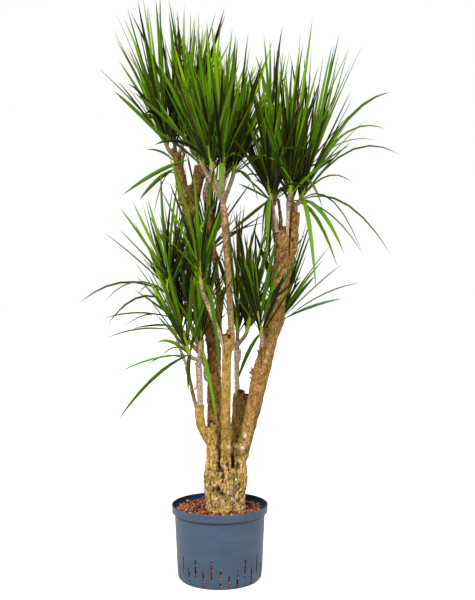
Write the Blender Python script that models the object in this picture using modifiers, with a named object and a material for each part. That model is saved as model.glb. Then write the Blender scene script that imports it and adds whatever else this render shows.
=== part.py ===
"""Branched dracaena in a slate-blue hydroculture pot, as separate closed solids.

Units are metres and +Z is up. The origin is the centre of the pot's underside, and the plant's
front faces -Y. Canes, boughs and shoots are tapering limbs that seat on the limb that carries
them. Each mass of leaves is one solid: a stem, its twigs, and long narrow leaves round each head.
"""

import math
import random
from collections import namedtuple

import bmesh
import bpy
import numpy as np
from mathutils import Matrix, Vector, noise

UP = Vector((0, 0, 1))
GAP = 0.0003  # clearance between neighbouring solids
MERGE = 0.0001

# Pot: a thin moulded wall with a stepped rim and two staggered rows of slots
POT_RIM_D = 0.250
POT_HEIGHT = 0.190
POT_WALL = 0.0025
POT_FLOOR = 0.003
RIM_BAND = 0.020
RIM_EDGE = 0.003
EASE = 0.0005  # the small steps and roundings of the moulding
SHOULDER_DROP = 0.003
POT_SHOULDER_D = 0.235
POT_WAIST_D, POT_WAIST_Z = 0.226, 0.085
POT_LOW_D, POT_LOW_Z = 0.220, 0.022
POT_FOOT_D, POT_FOOT_Z = 0.216, 0.006
POT_BASE_D = 0.206
POT_SIDES = 64
SLOT_WIDTH = 0.0045
SLOT_PITCH = 22.5
SLOT_ROWS = 16
LOW_SLOT = (2.1, 0.006, 0.048)  # first angle from the front, lower end, upper end
HIGH_SLOT = (13.35, 0.027, 0.072)
SHORT_SLOT = (0.006, 0.036)  # the one slot of the upper row that sits low, right of the front
SLOT_DEPTH = 0.030

# Clay granules: they fill the pot to just under the rim, with a flat seat under the trunk
FILL_EDGE = 0.169
FILL_TOP = 0.1747
FILL_SEAT_R = 0.078
FILL_SLOPE_R, FILL_SLOPE_DROP = 0.100, 0.0022
FILL_CHAMFER_R, FILL_CHAMFER_DROP = 0.004, 0.003
FILL_SIDES = 30

# Limbs: foot and tip positions, sideways bow at the middle, diameters, the limbs it seats on,
# the swelling of its knob at the tip, and its bark
Limb = namedtuple("Limb", "foot tip bow foot_d tip_d on knob bark")
TRUNK_BULGE, BULGE_AT, BULGE_WIDTH = 0.13, 0.55, 0.25  # of the radius, and of the trunk's length
KNOB_WIDTH = 0.10
LIMBS = {
    "trunk": Limb((0.018, 0, 0.175), (0.018, 0, 0.325), (0, 0), 0.101, 0.09, (), 0, "base"),
    "cane_left_stump": Limb(
        (-0.014, -0.016, 0.29), (-0.022, -0.02, 0.394), (0, 0), 0.037, 0.034, ("trunk",), 0, "tan"),
    "cane_front": Limb(
        (0.019, -0.034, 0.29), (0.021, -0.055, 0.622), (-0.004, 0), 0.031, 0.022, ("trunk",), 0.42, "tan"),
    "cane_right": Limb(
        (0.046, -0.008, 0.29), (0.176, 0.005, 0.884), (0.0125, 0), 0.034, 0.052, ("trunk",), 0.16, "warm"),
    "cane_back_left": Limb(
        (-0.014, 0.03, 0.29), (-0.016, 0.04, 0.594), (-0.001, 0), 0.04, 0.037, ("trunk",), 0, "dark"),
    "cane_back_stump": Limb(
        (0.04, 0.03, 0.29), (0.0545, 0.04, 0.472), (0, 0), 0.036, 0.041, ("trunk",), 0, "dark"),
    "bough_left_low": Limb(
        (-0.018, -0.018, 0.345), (-0.0495, -0.03, 0.452), (-0.014, 0), 0.026, 0.024, ("cane_left_stump",),
        0, "tan"),
    "bough_left_high": Limb(
        (-0.049, -0.03, 0.436), (-0.053, -0.035, 0.548), (0, 0), 0.0135, 0.0155, ("bough_left_low",), 0.1,
        "pale"),
    "shoot_far_left_low": Limb(
        (-0.0445, -0.021, 0.39), (-0.0855, 0, 0.547), (-0.003, 0.004), 0.011, 0.01, ("bough_left_low",),
        0.5, "dark"),
    "shoot_far_left_high": Limb(
        (-0.084, -0.0005, 0.541), (-0.1346, 0.01, 0.715), (-0.006, 0), 0.009, 0.008,
        ("shoot_far_left_low",), 0, "pale"),
    "stub_left_side": Limb(
        (-0.0195, 0.034, 0.485), (-0.04, 0.018, 0.552), (0, 0), 0.013, 0.012, ("cane_back_left",), 0,
        "pale"),
    "bough_back_high": Limb(
        (-0.0185, 0.041, 0.575), (-0.084, 0.065, 1.0), (0, 0), 0.03, 0.036, ("cane_back_left",), 0.48,
        "dark"),
    "stub_back": Limb(
        (-0.012, 0.036, 0.582), (0.0024, 0.03, 0.745), (0, 0), 0.022, 0.021,
        ("cane_back_left", "bough_back_high"), 0, "dark"),
    "shoot_dark": Limb(
        (0, 0.031, 0.705), (-0.0345, 0.024, 1.0), (0, 0), 0.016, 0.013, ("stub_back",), 0, "dark"),
    "shoot_back": Limb(
        (-0.045, 0.05, 0.72), (-0.04, 0.12, 0.815), (0, 0.006), 0.013, 0.01, ("bough_back_high",), 0,
        "dark"),
    "fork_back_left": Limb(
        (-0.095, 0.065, 0.975), (-0.1125, 0.065, 1.078), (0, 0), 0.032, 0.028, ("bough_back_high",), 0,
        "dark"),
    "fork_back_right": Limb(
        (-0.072, 0.066, 0.975), (-0.0545, 0.07, 1.08), (0, 0), 0.032, 0.03,
        ("bough_back_high", "fork_back_left"), 0, "dark"),
    "bough_front_high": Limb(
        (0.033, -0.051, 0.59), (0.0113, -0.06, 0.945), (0.0015, 0), 0.0165, 0.0175, ("cane_front",), 0.08,
        "pale"),
    "shoot_front_left": Limb(
        (0.016, -0.058, 0.592), (-0.032, -0.098, 0.718), (0, 0), 0.0125, 0.011, ("cane_front",), 0, "pale"),
    "shoot_back_stump": Limb(
        (0.05, 0.034, 0.42), (0.045, 0.023, 0.582), (-0.003, 0), 0.015, 0.014, ("cane_back_stump",), 0.25,
        "pale"),
    "stub_right_side": Limb(
        (0.111, -0.005, 0.515), (0.08, -0.018, 0.548), (0, 0), 0.018, 0.014, ("cane_right",), 0, "warm"),
    "shoot_right_inner": Limb(
        (0.112, -0.01, 0.535), (0.1085, -0.038, 0.611), (0, 0), 0.011, 0.01, ("cane_right",), 0, "pale"),
    "shoot_right_behind": Limb(
        (0.126, 0.002, 0.575), (0.16, 0.055, 0.645), (0, 0), 0.015, 0.012, ("cane_right",), 0, "warm"),
    "arm_right_left": Limb(
        (0.155, -0.006, 0.85), (0.1385, -0.016, 0.945), (0, 0), 0.015, 0.0115, ("cane_right",), 0, "pale"),
    "arm_right_outer": Limb(
        (0.188, -0.003, 0.845), (0.196, -0.004, 0.948), (0, 0), 0.0275, 0.0255, ("cane_right",), 0, "warm"),
    "shoot_right_middle": Limb(
        (0.174, -0.012, 0.85), (0.1765, -0.027, 0.955), (0, 0), 0.0105, 0.009, ("cane_right",), 0, "pale"),
    "stub_right_top": Limb(
        (0.166, 0.01, 0.845), (0.163, 0.013, 0.912), (0, 0), 0.024, 0.022, ("cane_right",), 0, "dark"),
}
THICK, MIDDLE = 0.030, 0.014  # limb diameters from which the tube has 10 or 8 sides
LIMB_STEP = 0.045
SMOOTH_ANGLE = math.radians(50)
LUMP_DEPTH = 0.07  # of the radius
LUMP_SIZE = 0.030

# Masses of leaves: the bough that carries it, where its heads are, leaves a head, their length,
# their widest angle off the head's axis, and how far out from its head a leaf's tip may be
Mass = namedtuple("Mass", "bough heads leaves length spread reach")
MASSES = {
    "leaves_top_left": Mass(
        "fork_back_left", ((-0.141, 0.045, 1.126), (-0.124, 0.094, 1.132), (-0.097, 0.05, 1.146)), 18, 0.4,
        50, 0.2),
    "leaves_top_back": Mass(
        "fork_back_right", ((-0.078, 0.116, 1.126), (-0.052, 0.074, 1.128), (-0.02, 0.108, 1.108)), 18,
        0.39, 58, 0.27),
    "leaves_top_front": Mass(
        "bough_front_high",
        ((-0.041, -0.048, 1.058), (-0.016, -0.096, 1.04), (0.009, -0.104, 1.042), (0.035, -0.056, 1.036)),
        16, 0.39, 52, 0.21),
    "leaves_top_right": Mass(
        "shoot_dark", ((-0.024, 0.026, 1.05), (0.012, 0.056, 1.046)), 16, 0.38, 58, 0.24),
    "leaves_right_left": Mass(
        "arm_right_left", ((0.132, -0.03, 0.975), (0.144, 0.032, 0.978)), 19, 0.42, 54, 0.24),
    "leaves_right_middle": Mass("shoot_right_middle", ((0.179, -0.042, 0.985),), 19, 0.42, 56, 0.24),
    "leaves_right": Mass(
        "arm_right_outer", ((0.209, -0.008, 0.978), (0.192, 0.048, 0.982)), 19, 0.42, 58, 0.25),
    "leaves_front_shoot": Mass("shoot_front_left", ((-0.042, -0.108, 0.752),), 20, 0.33, 54, 0.21),
    "leaves_far_left": Mass("shoot_far_left_high", ((-0.137, 0.01, 0.733),), 20, 0.31, 60, 0.2),
    "leaves_left": Mass(
        "bough_left_high", ((-0.075, -0.052, 0.578), (-0.049, -0.04, 0.598)), 14, 0.3, 62, 0.19),
    "leaves_left_inner": Mass(
        "stub_left_side", ((-0.05, 0.018, 0.655), (-0.078, 0.048, 0.65), (-0.098, 0.022, 0.635)), 12, 0.32,
        54, 0.17),
    "leaves_back": Mass("shoot_back", ((-0.036, 0.132, 0.845),), 22, 0.35, 80, 0.3),
    "leaves_middle": Mass(
        "shoot_back_stump", ((0.046, 0.042, 0.628), (0.069, 0.01, 0.632)), 15, 0.35, 48, 0.2),
    "leaves_right_inner": Mass("shoot_right_inner", ((0.106, -0.046, 0.63),), 12, 0.28, 50, 0.14),
    "leaves_right_behind": Mass("shoot_right_behind", ((0.168, 0.07, 0.664),), 18, 0.33, 68, 0.21),
}
STEM_LENGTH = 0.016
STEM_D = 0.009
TWIG_D = 0.008
TWIG_TAPER = 0.9
STEM_TAPER = 0.95
NECK_D = 0.009
HEAD_D = 0.028
NECK_LENGTH = 0.048
NECK_LEAN = 0.36  # share of the twig's own direction in the direction of its head
SUNK = 0.004

# Leaves: narrow blades with a keel. The outer ones on a head spread and sag, the inner stand up
TURN = math.radians(137.5)
LEAF_WIDTH = 0.0150
LEAF_KEEL = 0.0042
LEAF_SLIMMEST = 95  # a keel is at least the leaf's length over this
ROOT_KEEL = 0.8
LEAF_BREADTHS = (0.26, 1, 0.72)  # at the root, the middle and, on a sagging leaf, past it
ROOT_DROP = 0.022  # how far down the neck the outermost leaf starts
ROOT_SPREAD = 0.86
UPRIGHT = 4.0  # degrees off the head's axis at the middle of a head
FAN_POWER = 1.35
SAG = 0.62
TURN_PLAY = 0.35  # radians either way
OFF_PLAY = (0.6, 1)
LENGTH_PLAY = (0.8, 1)
SAG_PLAY = (0.35, 1)
TRIES = 24
TURN_TRIES = 5  # tries after which a leaf may turn aside twice as far
SHORTEN = 0.985
STRAIGHT = 0.22  # sag under which a leaf is made of two straight stretches
SAMPLE_STEP = 0.012
CLEAR = 0.0012
OWN_CLEAR = 0.012  # between leaves of one mass, past their roots
ROOT_ZONE = 0.18
ROOT_SHARED = 0.3  # of a leaf's first stretch, where the leaves of a head may touch
TRESPASS = 0.040  # how far a leaf may reach past the middle between two masses
CROWN_LOW = (-0.366, -0.42, 0.40)
CROWN_HIGH = (0.486, 0.45, 1.500)
SITE_LENGTH = 0.22  # stretch of each head's axis that its own space is measured from
SEED = 11

# The longest and lowest leaves, which give the crown its reach: mass, head, tip, sag
REACHING = (
    ("leaves_top_left", 0, (-0.319, 0.02, 1.33), 0.05),
    ("leaves_top_left", 0, (-0.278, 0.05, 1.432), 0),
    ("leaves_top_left", 0, (-0.252, 0.02, 0.99), 0.5),
    ("leaves_top_left", 1, (-0.19, 0.1, 1.49), 0),
    ("leaves_top_left", 2, (-0.092, 0.06, 1.498), 0),
    ("leaves_top_back", 0, (-0.065, 0.16, 1.49), 0),
    ("leaves_top_back", 1, (-0.022, 0.07, 1.478), 0),
    ("leaves_top_back", 0, (-0.08, 0.44, 1.13), 0.35),
    ("leaves_top_front", 0, (-0.215, -0.1, 1.235), 0.15),
    ("leaves_top_front", 2, (0.035, -0.13, 1.368), 0),
    ("leaves_top_front", 3, (0.104, -0.07, 1.39), 0),
    ("leaves_right_left", 0, (0.128, -0.05, 1.385), 0),
    ("leaves_right_left", 1, (0.156, 0.09, 1.395), 0),
    ("leaves_right_middle", 0, (0.225, -0.1, 1.415), 0),
    ("leaves_right_middle", 0, (0.262, -0.22, 0.76), 0.8),
    ("leaves_right", 0, (0.372, 0.01, 1.38), 0),
    ("leaves_right", 0, (0.476, -0.04, 1.225), 0.06),
    ("leaves_right", 0, (0.484, 0, 1.1), 0.24),
    ("leaves_right", 0, (0.44, -0.05, 0.84), 0.66),
    ("leaves_right", 1, (0.395, 0.17, 0.85), 0.66),
    ("leaves_right_behind", 0, (0.36, 0.1, 0.762), 0.22),
    ("leaves_right_behind", 0, (0.322, 0.14, 0.85), 0.05),
    ("leaves_far_left", 0, (-0.362, -0.02, 0.712), 0.42),
    ("leaves_far_left", 0, (-0.302, 0, 0.895), 0.08),
    ("leaves_far_left", 0, (-0.236, 0.02, 0.99), 0),
    ("leaves_left", 0, (-0.252, -0.1, 0.415), 0.5),
    ("leaves_left", 0, (-0.25, -0.14, 0.56), 0.4),
    ("leaves_left", 1, (-0.005, -0.11, 0.425), 1.0),
    ("leaves_back", 0, (-0.08, 0.42, 0.77), 0.6),
)

PALETTE = {
    "pot": ("43536A", 0.45),
    "granules": ("8A4A38", 0.95),
    "base": ("A8894C", 0.9),
    "tan": ("B9974E", 0.9),
    "warm": ("B98F55", 0.9),
    "dark": ("8C6E3A", 0.9),
    "pale": ("A99070", 0.9),
    "leaf": ("3A6A14", 0.5),
}


def clear_scene():
    for thing in list(bpy.data.objects):
        bpy.data.objects.remove(thing, do_unlink=True)


def collection(name):
    made = bpy.data.collections.new(name)
    bpy.context.scene.collection.children.link(made)
    return made


def linear(hex_colour):
    shares = [int(hex_colour[i:i + 2], 16) / 255 for i in (0, 2, 4)]
    return [s / 12.92 if s <= 0.04045 else ((s + 0.055) / 1.055) ** 2.4 for s in shares]


def material(finish):
    if finish in bpy.data.materials:
        return bpy.data.materials[finish]
    colour, roughness = PALETTE[finish]
    made = bpy.data.materials.new(finish)
    made.use_nodes = True
    shader = made.node_tree.nodes["Principled BSDF"]
    shader.inputs["Base Color"].default_value = (*linear(colour), 1)
    shader.inputs["Roughness"].default_value = roughness
    shader.inputs["Metallic"].default_value = 0
    return made


def add_object(name, mesh, finish, home):
    made = bpy.data.objects.new(name, mesh)
    mesh.materials.clear()
    mesh.materials.append(material(finish))
    home.objects.link(made)
    return made


def as_cutter(made):
    made.hide_render = True
    made.display_type = "WIRE"
    return made


def add_boolean(target, tool, operation):
    cut = target.modifiers.new(operation.lower(), "BOOLEAN")
    cut.operation = operation
    cut.object = tool
    cut.solver = "EXACT"


def turned(name, profile, sides, finish, home):
    """A closed turned solid: the profile starts and ends on the axis, outer side running down."""
    mesh = bpy.data.meshes.new(name)
    edges = [(i, i + 1) for i in range(len(profile) - 1)]
    mesh.from_pydata([(radius, 0, height) for radius, height in profile], edges, [])
    made = add_object(name, mesh, finish, home)
    spin = made.modifiers.new("turn", "SCREW")
    spin.steps = spin.render_steps = sides
    spin.use_merge_vertices = True
    spin.merge_threshold = MERGE
    spin.use_smooth_shade = True
    return made


def pot_wall():
    """Outer radius and height down the pot's side, under the rim band."""
    band_foot = POT_HEIGHT - RIM_BAND
    return [
        (POT_SHOULDER_D / 2 + EASE, band_foot - SHOULDER_DROP),
        (POT_WAIST_D / 2, POT_WAIST_Z),
        (POT_LOW_D / 2, POT_LOW_Z),
        (POT_FOOT_D / 2, POT_FOOT_Z),
    ]


def inner_wall():
    return [(radius - POT_WALL, height) for radius, height in pot_wall()]


def slot_cutter(home):
    """All the slots as one set of upright boxes that pass through the wall."""
    boxes = bmesh.new()
    for row, (first, low, high) in enumerate((LOW_SLOT, HIGH_SLOT)):
        for count in range(SLOT_ROWS):
            bottom, top = SHORT_SLOT if row == 1 and count == 0 else (low, high)
            turn = math.radians(first + SLOT_PITCH * count)
            centre = Vector((0, -POT_WAIST_D / 2, (bottom + top) / 2))
            place = (
                Matrix.Rotation(turn, 4, "Z") @ Matrix.Translation(centre)
                @ Matrix.Diagonal((SLOT_WIDTH, SLOT_DEPTH, top - bottom, 1))
            )
            bmesh.ops.create_cube(boxes, size=1, matrix=place)
    mesh = bpy.data.meshes.new("pot_slots")
    boxes.to_mesh(mesh)
    boxes.free()
    return as_cutter(add_object("pot_slots", mesh, "pot", home))


def make_pot(parts, cutters):
    rim = POT_RIM_D / 2
    band_foot = POT_HEIGHT - RIM_BAND
    inner = inner_wall()
    profile = [(0, POT_FLOOR), (POT_BASE_D / 2 - POT_WALL, POT_FLOOR)] + inner[::-1]
    profile += [(rim - POT_WALL - EASE, band_foot + 4 * EASE), (rim - POT_WALL, POT_HEIGHT)]
    profile += [(rim - EASE, POT_HEIGHT), (rim, POT_HEIGHT - RIM_EDGE), (rim - 2 * EASE, band_foot)]
    profile += pot_wall() + [(POT_BASE_D / 2, 0), (0, 0)]
    pot = turned("pot", profile, POT_SIDES, "pot", parts)
    pot.rotation_euler.z = math.radians(LOW_SLOT[0] - 180 / POT_SIDES)
    add_boolean(pot, slot_cutter(cutters), "DIFFERENCE")


def make_granules(parts):
    """The fill, kept inside the flats of the pot's wall by the gap."""
    flat = math.cos(math.pi / POT_SIDES)
    wall = [(radius * flat - GAP, height) for radius, height in inner_wall()]
    wall[0] = (wall[0][0], FILL_EDGE - FILL_CHAMFER_DROP)
    floor = POT_FLOOR + GAP
    mound = [(0, FILL_TOP), (FILL_SEAT_R, FILL_TOP), (FILL_SLOPE_R, FILL_TOP - FILL_SLOPE_DROP)]
    mound.append((wall[0][0] - FILL_CHAMFER_R, FILL_EDGE))
    foot = [(POT_BASE_D / 2 - POT_WALL - 2 * GAP, floor), (0, floor)]
    turned("granules", mound + wall + foot, FILL_SIDES, "granules", parts)


def route(limb, steps):
    foot, tip, bow = Vector(limb.foot), Vector(limb.tip), Vector((*limb.bow, 0))
    shares = [i / steps for i in range(steps + 1)]
    return [foot.lerp(tip, t) + bow * (4 * t * (1 - t)) for t in shares]


def radius_at(name, limb, share):
    radius = (limb.foot_d + (limb.tip_d - limb.foot_d) * share) / 2
    if name == "trunk":
        return radius * (1 + TRUNK_BULGE * math.exp(-((share - BULGE_AT) / BULGE_WIDTH) ** 2))
    return radius * (1 + limb.knob * math.exp(-((share - 1) / KNOB_WIDTH) ** 2))


def limb_steps(limb):
    length = (Vector(limb.tip) - Vector(limb.foot)).length
    return max(4, round(length / LIMB_STEP))


def tip_direction(limb):
    steps = limb_steps(limb)
    points = route(limb, steps)
    return (points[-1] - points[-2]).normalized()


def limb_mesh(name, limb):
    """A tapering tube on the limb's route, with welded caps and a lumpy side."""
    steps = limb_steps(limb)
    points = route(limb, steps)
    path = bpy.data.curves.new(name, "CURVE")
    path.dimensions = "3D"
    path.bevel_depth = 1
    sides = 12 if name == "trunk" else 10 if limb.foot_d > THICK else 8 if limb.foot_d > MIDDLE else 6
    path.bevel_resolution = (sides - 4) // 2
    path.use_fill_caps = True
    spline = path.splines.new("POLY")
    spline.points.add(steps)
    for place, (point, knot) in enumerate(zip(points, spline.points)):
        knot.co = (*point, 1)
        knot.radius = radius_at(name, limb, place / steps)
    tube = bpy.data.objects.new(name, path)
    bpy.context.scene.collection.objects.link(tube)
    graph = bpy.context.evaluated_depsgraph_get()
    mesh = bpy.data.meshes.new_from_object(tube.evaluated_get(graph))
    bpy.data.objects.remove(tube, do_unlink=True)
    shape = bmesh.new()
    shape.from_mesh(mesh)
    bmesh.ops.remove_doubles(shape, verts=shape.verts, dist=MERGE)
    for vert in shape.verts:
        middle = min(points, key=lambda point: (point - vert.co).length)
        lump = noise.noise(vert.co / LUMP_SIZE)
        vert.co = middle + (vert.co - middle) * (1 + LUMP_DEPTH * lump)
    bmesh.ops.recalc_face_normals(shape, faces=shape.faces)
    bmesh.ops.triangulate(shape, faces=shape.faces)
    shape.to_mesh(mesh)
    shape.free()
    return mesh


def grown_copy(name, mesh, home):
    """The limb's shape, larger by the gap on every side: it cuts the seat of what it carries."""
    shape = bmesh.new()
    shape.from_mesh(mesh)
    shape.normal_update()
    moves = [(vert, vert.normal * vert.calc_shell_factor() * GAP) for vert in shape.verts]
    for vert, move in moves:
        vert.co += move
    grown = bpy.data.meshes.new(name + "_seat")
    shape.to_mesh(grown)
    shape.free()
    return as_cutter(add_object(name + "_seat", grown, "tan", home))


def make_limbs(parts, cutters):
    carriers = {carrier for limb in LIMBS.values() for carrier in limb.on}
    seats = {}
    for name, limb in LIMBS.items():
        mesh = limb_mesh(name, limb)
        mesh.shade_smooth()
        mesh.set_sharp_from_angle(angle=SMOOTH_ANGLE)
        made = add_object(name, mesh, limb.bark, parts)
        if name in carriers:
            seats[name] = grown_copy(name, mesh, cutters)
        for carrier in limb.on:
            add_boolean(made, seats[carrier], "DIFFERENCE")


def tapered(start, end, start_d, end_d, sides):
    """A cone with closed ends between two points, as a mesh."""
    along = end - start
    shape = bmesh.new()
    place = Matrix.Translation((start + end) / 2) @ along.to_track_quat("Z", "Y").to_matrix().to_4x4()
    bmesh.ops.create_cone(
        shape, cap_ends=True, segments=sides, radius1=start_d / 2, radius2=end_d / 2,
        depth=along.length, matrix=place)
    mesh = bpy.data.meshes.new("piece")
    shape.to_mesh(mesh)
    shape.free()
    return mesh


def stem_points(mass):
    """Where the mass's stem starts, clear of its bough's tip, and where its twigs leave it."""
    limb = LIMBS[mass.bough]
    along = tip_direction(limb)
    start = Vector(limb.tip) + along * GAP
    return start, start + along * STEM_LENGTH


def head_axis(fork, head):
    twig = (head - fork).normalized()
    return (twig * NECK_LEAN + UP * (1 - NECK_LEAN)).normalized()


def heads_of(mass):
    """Foot and axis of each head of a mass."""
    fork = stem_points(mass)[1]
    return [(Vector(head), head_axis(fork, Vector(head))) for head in mass.heads]


def leaf_point(root, aim, length, sag, share):
    return root + aim * (length * share) - UP * (length * sag * share * share)


def segment_distance(points, rows):
    """Distance from each point to each segment, as a table. A row starts with the segment's ends."""
    starts, ends = rows[:, 0:3], rows[:, 3:6]
    along = ends - starts
    lengths = np.maximum((along * along).sum(1), 1e-12)
    offset = points[:, None, :] - starts[None, :, :]
    share = np.clip((offset * along[None]).sum(2) / lengths, 0, 1)
    return np.linalg.norm(offset - share[:, :, None] * along[None], axis=2)


def leaf_shares(sag):
    """Where along a leaf its cross-sections are: a straight one has fewer."""
    return (0, 0.45, 1) if sag < STRAIGHT else (0, 0.34, 0.70, 1)


def leaf_line(root, aim, length, sag):
    return np.array([leaf_point(root, aim, length, sag, share) for share in leaf_shares(sag)])


def tip_reach(foot, line):
    """How far out sideways from its head a leaf's tip is."""
    return math.hypot(line[-1][0] - foot.x, line[-1][1] - foot.y)


def along_line(line):
    """Points a few millimetres apart along a leaf's middle line."""
    points = []
    for start, end in zip(line, line[1:]):
        count = max(2, int(np.linalg.norm(end - start) / SAMPLE_STEP))
        points += [start + (end - start) * (i / count) for i in range(count)]
    return np.array(points + [line[-1]])


class Space:
    """The room that is taken: it says whether a leaf keeps to its own mass's space, clear of
    every limb, twig and neck and of the leaves of the other masses and heads."""

    def __init__(self):
        self.segments = {"limb": [], "twig": [], "site": [], "leaf": []}
        for name, limb in LIMBS.items():
            steps = limb_steps(limb)
            points = route(limb, steps)
            for place in range(steps):
                radius = radius_at(name, limb, (place + 1) / steps) * (1 + LUMP_DEPTH)
                self.add("limb", points[place], points[place + 1], -1, -1, radius)
        for number, mass in enumerate(MASSES.values()):
            start, fork = stem_points(mass)
            for head, (foot, axis) in enumerate(heads_of(mass)):
                self.add("twig", start, fork, number, head, TWIG_D / 2)
                self.add("twig", fork, foot, number, head, TWIG_D / 2)
                self.add("twig", foot, foot + axis * NECK_LENGTH, number, head, HEAD_D / 2)
                self.add("site", foot, foot + axis * SITE_LENGTH, number, head, 0)
        self.tables = {kind: self.table(kind) for kind in ("limb", "twig", "site")}

    def add(self, kind, start, end, owner, head, radius):
        self.segments[kind].append((*start, *end, owner, head, radius))

    def table(self, kind):
        return np.array(self.segments[kind])

    def trespasses(self, points, owner):
        sites = self.tables["site"]
        distances = segment_distance(points, sites)
        own = distances[:, sites[:, 6] == owner].min(1)
        others = distances[:, sites[:, 6] != owner].min(1)
        return ((own - others) / 2 > TRESPASS).any()

    def near(self, points, rows, clearance):
        return len(rows) > 0 and (segment_distance(points, rows) < rows[:, 8][None] + clearance).any()

    def free(self, owner, head, line):
        points = along_line(line)
        half = LEAF_WIDTH / 2 + CLEAR
        twigs = self.tables["twig"]
        foreign = (twigs[:, 6] != owner) | (twigs[:, 7] != head)
        if (points < CROWN_LOW).any() or (points > CROWN_HIGH).any():
            return False
        if self.trespasses(points, owner) or self.near(points, self.tables["limb"], half):
            return False
        if self.near(points[2:], twigs[foreign], half):
            return False
        if not self.segments["leaf"]:
            return True
        leaves = self.table("leaf")
        own_mass, own_head = leaves[:, 6] == owner, leaves[:, 7] == head
        if self.near(points, leaves[~own_mass], 2 * half):
            return False
        if self.near(points, leaves[own_mass & ~own_head], OWN_CLEAR):
            return False
        beyond = points[int(len(points) * ROOT_ZONE):]
        return not self.near(beyond, leaves[own_mass & own_head], OWN_CLEAR)

    def take(self, owner, head, line):
        for place, (start, end) in enumerate(zip(line, line[1:])):
            if place == 0:
                start = start + (end - start) * ROOT_SHARED
            self.add("leaf", start, end, owner, head, 0)


def leaf_mesh(root, aim, length, sag, width):
    """A closed three-sided blade: flat above, keeled below, narrowing to a fine tip."""
    side = aim.cross(UP)
    side = side.normalized() if side.length > 0.05 else Vector((1, 0, 0))
    shares = leaf_shares(sag)[:-1]
    shape = bmesh.new()
    rings = []
    for share, breadth in zip(shares, LEAF_BREADTHS):
        centre = leaf_point(root, aim, length, sag, share)
        along = (aim - UP * (2 * sag * share)).normalized()
        above = side.cross(along)
        half = side * (width * breadth / 2)
        keel = above * -max(LEAF_KEEL, length / LEAF_SLIMMEST) * (ROOT_KEEL if share == 0 else 1)
        rings.append([shape.verts.new(centre + offset) for offset in (half, -half, keel)])
    tip = shape.verts.new(leaf_point(root, aim, length, sag, 1))
    shape.faces.new(rings[0][::-1])
    for lower, upper in zip(rings, rings[1:]):
        for i in range(3):
            j = (i + 1) % 3
            shape.faces.new((lower[i], lower[j], upper[j], upper[i]))
    for i in range(3):
        shape.faces.new((rings[-1][i], rings[-1][(i + 1) % 3], tip))
    bmesh.ops.recalc_face_normals(shape, faces=shape.faces)
    bmesh.ops.triangulate(shape, faces=shape.faces)
    mesh = bpy.data.meshes.new("piece")
    shape.to_mesh(mesh)
    shape.free()
    return mesh


def aim_towards(root, tip, sag):
    """Direction and length of a leaf that sags by its share and still ends at the tip."""
    length = (tip - root).length
    for _ in range(4):
        reach = tip - root + UP * (length * sag)
        length = reach.length
    return reach.normalized(), length


def root_on_head(foot, axis, aim, share):
    """Inside the widening neck: the outer leaves start lower, on the side they lean to."""
    height = NECK_LENGTH - SUNK - ROOT_DROP * share * share
    radius = (NECK_D + (HEAD_D - NECK_D) * height / NECK_LENGTH) / 2
    aside = (aim - axis * aim.dot(axis)).normalized()
    return foot + axis * height + aside * (radius * ROOT_SPREAD * share)


def leaf_towards(foot, axis, tip, sag):
    """A leaf on a head that sags by its share and still ends at the tip."""
    aim, length = aim_towards(foot + axis * (NECK_LENGTH / 2), Vector(tip), sag)
    root = root_on_head(foot, axis, aim, 1)
    aim, length = aim_towards(root, Vector(tip), sag)
    return root, aim, length, sag


def leaf_on_head(mass, foot, axis, start, count, dice, attempt):
    """Leaf number count of a head: the first ones stand up at its middle, the last ones spread."""
    share = math.sqrt((count + 0.5) / mass.leaves)
    turn = start + TURN * count + dice.uniform(-TURN_PLAY, TURN_PLAY) * (1 + attempt / TURN_TRIES)
    off = UPRIGHT + (mass.spread - UPRIGHT) * share ** FAN_POWER * dice.uniform(*OFF_PLAY)
    across = axis.cross(Vector((0, 1, 0))).normalized()
    lean = Matrix.Rotation(math.radians(off), 3, across)
    aim = Matrix.Rotation(turn, 3, axis) @ lean @ axis
    root = root_on_head(foot, axis, aim, share)
    length = mass.length * dice.uniform(*LENGTH_PLAY) * SHORTEN ** attempt
    sag = SAG * (1 - aim.z) * dice.uniform(*SAG_PLAY)
    return root, aim, length, sag


def grow_leaves():
    """All the leaves, mass by mass: the reaching ones first, then each head's next one in turn."""
    space = Space()
    dice = random.Random(SEED)
    leaves = {name: [] for name in MASSES}
    numbers = {name: number for number, name in enumerate(MASSES)}
    heads = []
    for name, mass in MASSES.items():
        heads += [(name, place, *head) for place, head in enumerate(heads_of(mass))]
    starts = [dice.uniform(0, 2 * math.pi) for _ in heads]
    for name, place, tip, sag in REACHING:
        leaf = leaf_towards(*heads_of(MASSES[name])[place], tip, sag)
        leaves[name].append(leaf)
        space.take(numbers[name], place, leaf_line(*leaf))
    for count in range(max(mass.leaves for mass in MASSES.values())):
        for (name, place, foot, axis), start in zip(heads, starts):
            if count >= MASSES[name].leaves:
                continue
            for attempt in range(TRIES):
                leaf = leaf_on_head(MASSES[name], foot, axis, start, count, dice, attempt)
                line = leaf_line(*leaf)
                if tip_reach(foot, line) < MASSES[name].reach and space.free(numbers[name], place, line):
                    leaves[name].append(leaf)
                    space.take(numbers[name], place, line)
                    break
    return leaves


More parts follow.
